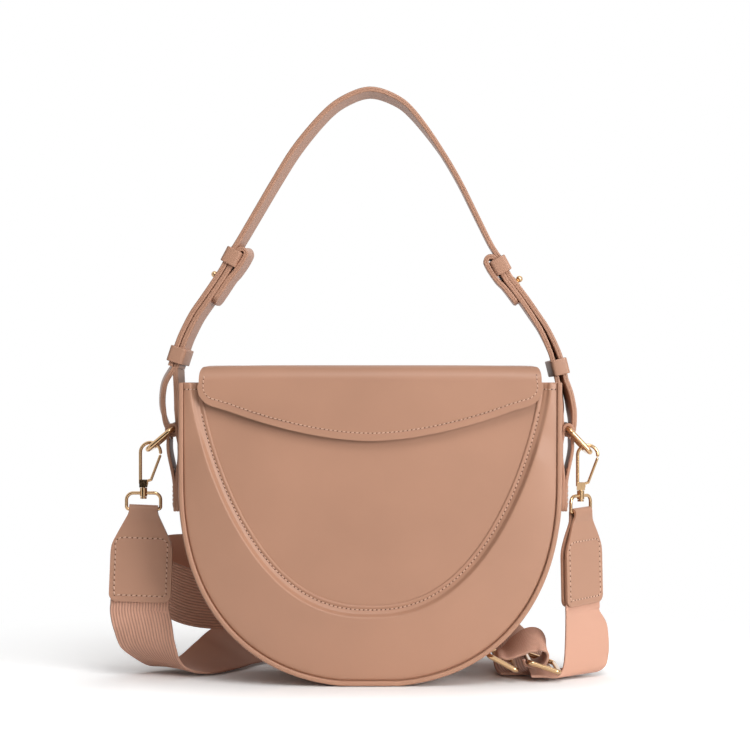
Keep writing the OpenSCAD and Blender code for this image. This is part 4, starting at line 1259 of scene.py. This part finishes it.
BALL_R, BALL_AT, STUD_AT = 2.15, 2.5, 5
ball = [(BALL_AT - BALL_R * math.cos(math.radians(t)), BALL_R * math.sin(math.radians(t)))
        for t in range(44, 165, 12)]
STUD_PROFILE = [(0, 0.001), (0, 3.5), (0.45, 3.5), (0.7, 3.15), (0.78, 1.3)] + ball + [(4.65, 0.001)]
for i, side in enumerate(SIDES):
    upwards = -heading(outer[i], STUD_AT)
    centre, up, face, _ = on_strap(i, outer[i][STUD_AT], upwards)
    centre = centre + face * (HANDLE_T / 2 + 0.06)
    stud = turned_piece("strap_stud_" + side + "_ball", STUD_PROFILE, centre, face, -up, warm_gold)
    stand_in(stud, "strap_stud_" + side, "handle")

# %% [markdown]
# A leather tab folded round each ring's bar is sewn flat to the side strip. It is
# cut away in the middle, where the handle's loop passes, which leaves two ears.

# %% Side tabs
TAB_T, TAB_LEN, EAR_W = 2.0, 53.0, 3.4
TAB_W = HANDLE_W + 2 * (GAP + EAR_W)
TAB_R = RING_WIRE / 2 + 0.06 + TAB_T / 2
TAB_SEAT = SIDE_X - GUSSET_IN + TAB_T / 2 + 0.06
TAB_LOW = PIVOT_Z - TAB_LEN
TAB_SLOT, TAB_SLOT_LOW = HANDLE_W / 2 + GAP, PIVOT_Z - LOOP_R - HANDLE_T / 2 - 2.2


def tab_line():
    """The folded strip seen from the front: down outside, round the bar, down inside."""
    turn = [np.array(q) for q in arc(PIVOT_X, PIVOT_Z, TAB_R, -20, 200, 14)]
    face, sewn = TAB_SEAT + TAB_T * 0.95, PIVOT_Z - TAB_LEN * 0.62
    outside = spline([(face - 0.7, TAB_LOW), (face, sewn),
                      (PIVOT_X + TAB_R * 0.75, PIVOT_Z - TAB_LEN * 0.34 * 0.75), turn[0]], 9)
    inside = spline([turn[-1], (TAB_SEAT + 0.6, PIVOT_Z - TAB_LEN * 0.34), (TAB_SEAT, sewn),
                     (TAB_SEAT - 0.7, TAB_LOW)], 9)
    return [(x + side_puff(z) * (z < PIVOT_Z - 10), z) for x, z in outside + turn[1:-1] + inside]


def side_tab(name, flip):
    line = tab_line()
    ear = [TAB_SLOT + EAR_W / 2, TAB_W / 2]
    stops = [-y for y in reversed(ear)] + list(np.linspace(-TAB_SLOT, TAB_SLOT, 9)) + ear

    def place(i, j):
        x, z = line[j]
        near_end = max(0, 1 - min(z - TAB_LOW, 6) / 6)
        return (flip * x * MM, stops[i] * (1 - 0.12 * near_end ** 2) * MM, z * MM)

    piece = grid(name + "_leather", len(stops) - 1, len(line) - 1, place, strap_hide)
    edit(piece, (bpy.ops.mesh.select_mode, {"type": "FACE"}))
    for face in piece.data.polygons:
        face.select = abs(face.center.y) < TAB_SLOT * MM and face.center.z > TAB_SLOT_LOW * MM
    bpy.ops.object.mode_set(mode="EDIT")
    bpy.ops.mesh.delete(type="FACE")
    bpy.ops.mesh.select_mode(type="VERT")
    bpy.ops.object.mode_set(mode="OBJECT")
    edit(piece, CONSISTENT)
    stand_in(thicken(piece, TAB_T * MM * 0.96, edge=0.0004, offset=0), name)


TAB_SEAM = [(-10.4, up) for up in (28, 22, 16, 10, 5)] + [(-8, 3), (8, 3)]
TAB_SEAM += [(10.4, up) for up in (5, 10, 16, 22, 28)]
for side, flip in zip(SIDES, FLIPS):
    side_tab("side_tab_" + side, flip)
seam_x = TAB_SEAT + TAB_T * 1.45 - 0.25
for side, flip in zip(SIDES, FLIPS):
    path = [(flip * (seam_x + side_puff(TAB_LOW + up)), y, TAB_LOW + up) for y, up in TAB_SEAM]
    seam("tab_seam_" + side, path, (flip, 0, 0), "bag")

# %% [markdown]
# Each end of the shoulder strap is a leather paddle: one piece folded over the
# bar of the swivel eye, so that its two faces hold the webbing between them. A
# stitched rectangle goes through all three layers.

# %% Strap ends
END_W, END_LEN, END_TOP_W, END_T, END_CORNER = 40.0, 63.0, 18.4, 5.2, 5.0
EYE_WIRE, END_LEATHER = 2.2, 1.7
END_TOP = EYE_WIRE / 2 + 0.06 + END_LEATHER
END_LOW = END_TOP - END_LEN
END_FOLD = EYE_WIRE / 2 + 0.08 + END_LEATHER / 2
END_NECK = 1.1
END_SHAPE = ((0, 0), (4.4, 0), (6.3, 0.05), (23.3, 0.84), (25.8, 0.93), (28.4, 0.98), (31.5, 1))
HOOKS = {"left": ((-142.321, 145.794), 0.0, 2.4), "right": ((140.64, 144.023), 50.0, -2.0)}
AXIS_BACK, EYE_BAR_DOWN = 4.5, -36.6
FACE_ROWS, FOLD_ROWS = 34, 9


def end_axes(side):
    """The eye's bar and the paddle's own directions: across, out of its face, and up."""
    (x, z), turn, lean = HOOKS[side]
    t, n = math.radians(turn), math.radians(lean)
    flat = np.array([math.cos(t), math.sin(t), 0])
    out = np.array([math.sin(t), -math.cos(t), 0])
    up = np.array([0, 0, 1.0])
    across = math.cos(n) * flat - math.sin(n) * up
    upward = math.cos(n) * up + math.sin(n) * flat
    return np.array([x - AXIS_BACK, 0, z + EYE_BAR_DOWN]), across, out, upward


def end_half_width(z):
    """Half width of the paddle at a height under its eye."""
    share = float(np.interp(END_TOP - z, *zip(*END_SHAPE)))
    return END_TOP_W / 2 + (END_W - END_TOP_W) / 2 * share


def end_gap(z):
    """Half distance between the middles of the two faces."""
    def eased(first, last, t):
        return first + (last - first) * (0.5 - 0.5 * math.cos(math.pi * t))

    if z > -1.5:
        return END_FOLD
    if z > -6.5:
        return eased(END_FOLD, END_NECK, (-1.5 - z) / 5)
    return eased(END_NECK, (END_T - END_LEATHER) / 2, min(1, (-6.5 - z) / 10))


def end_seam_path(face, origin, across, out, up):
    w, top, bottom, r = END_W / 2 - 3.2, END_LOW + 41.5, END_LOW + 4.2, 1.5
    corners = [(-w + r, bottom), (w - r, bottom), (w, bottom + r), (w, top - r * 2), (w - r * 2, top),
               (-w + r * 2, top), (-w, top - r * 2), (-w, bottom + r), (-w + r, bottom)]
    points = []
    for x, z in resample(corners, 160):
        bulge = 0.22 * (1 - (x / 20) ** 2) * math.sin(math.pi * (z - END_LOW) / -END_LOW)
        points.append(origin + across * x + out * face * (END_T / 2 + 0.03 + bulge) + up * z)
    return points


def strap_end(side, columns=44):
    origin, across, out, up = axes = end_axes(side)
    flat_half = END_W / 2 - END_CORNER
    low_half = [(flat_half * k / 18, END_LOW) for k in range(19)]
    low_half += arc(flat_half, END_LOW + END_CORNER, END_CORNER, -80, 0, 8)
    low = resample(both_sides(low_half), columns + 1)
    heights = np.linspace(0, 1, FACE_ROWS)

    def place(i, j):
        share = low[i][0] / (END_W / 2)
        past = j - FACE_ROWS
        if 0 <= past < FOLD_ROWS:
            a = math.radians(180 * (past + 1) / (FOLD_ROWS + 1))
            x, y, z = share * END_TOP_W / 2, END_FOLD * math.cos(a), END_FOLD * math.sin(a)
        else:
            front = past < 0
            s = heights[j] if front else heights[FACE_ROWS - 1 - (past - FOLD_ROWS)]
            z = low[i][1] * (1 - s)
            x = share * end_half_width(z)
            y = (end_gap(z) + 0.25 * (1 - share ** 2) * math.sin(math.pi * s)) * (1 if front else -1)
        return tuple((origin + across * x + out * y + up * z) * MM)

    name = "strap_end_" + side
    piece = grid(name + "_leather", columns, 2 * FACE_ROWS + FOLD_ROWS - 1, place, strap_hide)
    edit(piece, CONSISTENT)
    stand_in(thicken(piece, END_LEATHER * MM * 0.97, edge=0.00045, offset=0), name)
    for face, word in ((1, "front"), (-1, "back")):
        seam("end_seam_" + side + "_" + word, end_seam_path(face, *axes), out * face, "bag",
             pitch=3.3, long=2.45, thick=1.0)


for side in SIDES:
    strap_end(side)

# %% [markdown]
# The shoulder strap is one length of ribbed webbing. It leaves the left end, turns
# on the floor beside the bag, lies in flat loops behind it, and comes forward at
# the right to its slider and ring. Each row of its route gives the middle of the
# band and the direction across it, as in the solids.

# %% Webbing routes
END_EXITS = (-30, -12, -2, 0.06, 3, 6)


def end_exit(side, down):
    (x, z), turn, lean = HOOKS[side]
    t, n = math.radians(turn), math.radians(lean)
    low = END_LOW - down
    slip = low * math.sin(n)
    return (x - AXIS_BACK + slip * math.cos(t), slip * math.sin(t), z + EYE_BAR_DOWN + low * math.cos(n),
            math.cos(t), math.sin(t), 0)


LONG_ROUTE = (
    (-147.7, 0, 34.75, 1, 0, -0.01),
    (-144.75, 3.5, 21.75, 0.97, -0.25, 0.07),
    (-139, 11, 11.5, 0.83, -0.55, 0.05),
    (-129.49, 17.5, 4.75, 0.72, -0.69, -0.01),
    (-114.5, 28, 4.35, 0.71, -0.68, -0.17),
    (-100.74, 45, 9.4, 0.72, -0.54, -0.44),
    (-89.5, 66, 13.7, 0.7, -0.31, -0.64),
    (-66.01, 94, 17, 0.45, -0.25, -0.85),
    (-30, 104, 19.5, 0.1, -0.2, -0.97),
    (9.99, 106, 19.6, 0, -0.12, -0.99),
    (42, 101, 19.6, 0, -0.05, -1),
    (66.01, 88, 22, 0.05, 0, -1),
    (60, 72, 28, 0, 0.05, -1),
    (25, 62, 38, 0, 0.08, -1),
    (-30, 57, 43, 0, 0.05, -1),
    (-80.01, 56.5, 43, 0, 0.03, -1),
    (-116, 58, 44.5, 0, 0.05, -1),
    (-137, 63, 52, 0.1, 0.1, -1),
    (-146, 75, 61, 0.12, 0, -1),
    (-137, 88, 66.5, 0.05, -0.05, -1),
    (-105, 93, 66.5, 0, -0.05, -1),
    (-50, 91, 66, 0, -0.05, -1),
    (5, 87, 65, 0, -0.05, -1),
    (42, 84, 60, 0.12, 0, -1),
    (70, 80, 48, 0.45, 0.1, -0.85),
    (88, 72, 32, 0.7, 0.35, -0.6),
    (97.01, 57, 17, 0.86, 0.4, -0.3),
    (99.5, 38, 7, 0.95, 0.28, -0.1),
    (101, 22, 2.5, 0.96, 0.2, 0),
    (103.5, 8, 1.5, 0.92, 0.4, 0),
)
FOLD_ROUTE = (
    (81.5, -1, 13.4, 0, 1, 0),
    (83.5, -1, 15.4, 0, 1, 0),
    (88, -1, 16.2, 0, 1, 0.1),
    (95, -1, 20.5, 0, 1, 0.24),
    (102.5, -1, 24.3, 0, 1, 0.3),
    (109, -1, 24.2, 0, 1, 0.3),
    (113, -1, 20, 0, 1, 0.2),
    (113.31, -1, 14.5, 0, 1, 0),
    (111.29, -1, 10.9, 0, 1, 0),
    (107, -1, 9.1, 0, 1, 0),
    (102.6, -1, 9.6, 0, 1, 0),
    (98.95, -1, 11.1, 0, 1, 0),
    (98.3, -1, 14.2, 0, 1, 0),
)
SHORT_ROUTE = (
    (103, -2, 3.55, 0, 1, 0),
    (112, -2, 3.55, 0.1, 0.99, 0),
    (120, -2.4, 3.3, 0.35, 0.93, 0),
    (128, -2.2, 2.6, 0.6, 0.8, 0),
    (134.2, -1.6, 3.0, 0.74, 0.67, 0),
    (138, -0.8, 6.2, 0.79, 0.61, 0),
    (139.6, -0.2, 12, 0.8, 0.6, 0),
    (140.2, 0.2, 20, 0.8, 0.6, 0),
    (139.8, 0.8, 33, 0.76, 0.65, 0),
)
print("route rows:", len(LONG_ROUTE), len(FOLD_ROUTE), len(SHORT_ROUTE))

# %% Webbing
def ribbed_section(per=6):
    """The band's cut face: rounded ribs on one side, a smooth back, thin selvedges."""
    w = WEB_W / 2
    top, flat = [], []
    for k in range(RIBS * per + 1):
        x = w - WEB_W * k / (RIBS * per)
        thin = 0.55 + 0.45 * math.sqrt(min(1, (w - abs(x)) / 1.2))
        rib = 0.4 * abs(math.sin(math.pi * k / per)) ** 0.8
        top.append((x, (WEB_T / 2 - 0.4 + rib) * thin))
        flat.append((x, -WEB_T / 2 * thin))
    return top + flat[::-1]


def web_rows(route, steps, square=1.0):
    """With square 1 the band's width is turned square to its line, and with 0 it isn't."""
    r = np.array(spline(route, steps))
    centres = r[:, :3]
    rows = []
    for k, centre in enumerate(centres):
        t = heading(centres, k)
        w = unit(r[k, 3:])
        w = unit(w - t * np.dot(w, t) * square)
        rows.append((centre, w, unit(np.cross(t, w))))
    return rows


def webbing(node, route, steps, square=1.0):
    rows = web_rows(route, steps, square)
    low = min(c[2] - abs(w[2]) * WEB_W / 2 - abs(o[2]) * WEB_T / 2 for c, w, o in rows)
    print(node, "lowest point in mm:", round(low, 2))
    stand_in(sweep(node + "_band", rows, ribbed_section(), ribbed_webbing, angle=75, weave=True),
             node)


webbing("long_webbing", [end_exit("left", d) for d in END_EXITS] + list(LONG_ROUTE), 9)
webbing("webbing_fold", FOLD_ROUTE, 10)
webbing("short_webbing", list(SHORT_ROUTE) + [end_exit("right", d) for d in reversed(END_EXITS)], 10, square=0.0)

# %% Finish
print("seams:", len(seams), "stitches:", sum(count for _, count in seams))
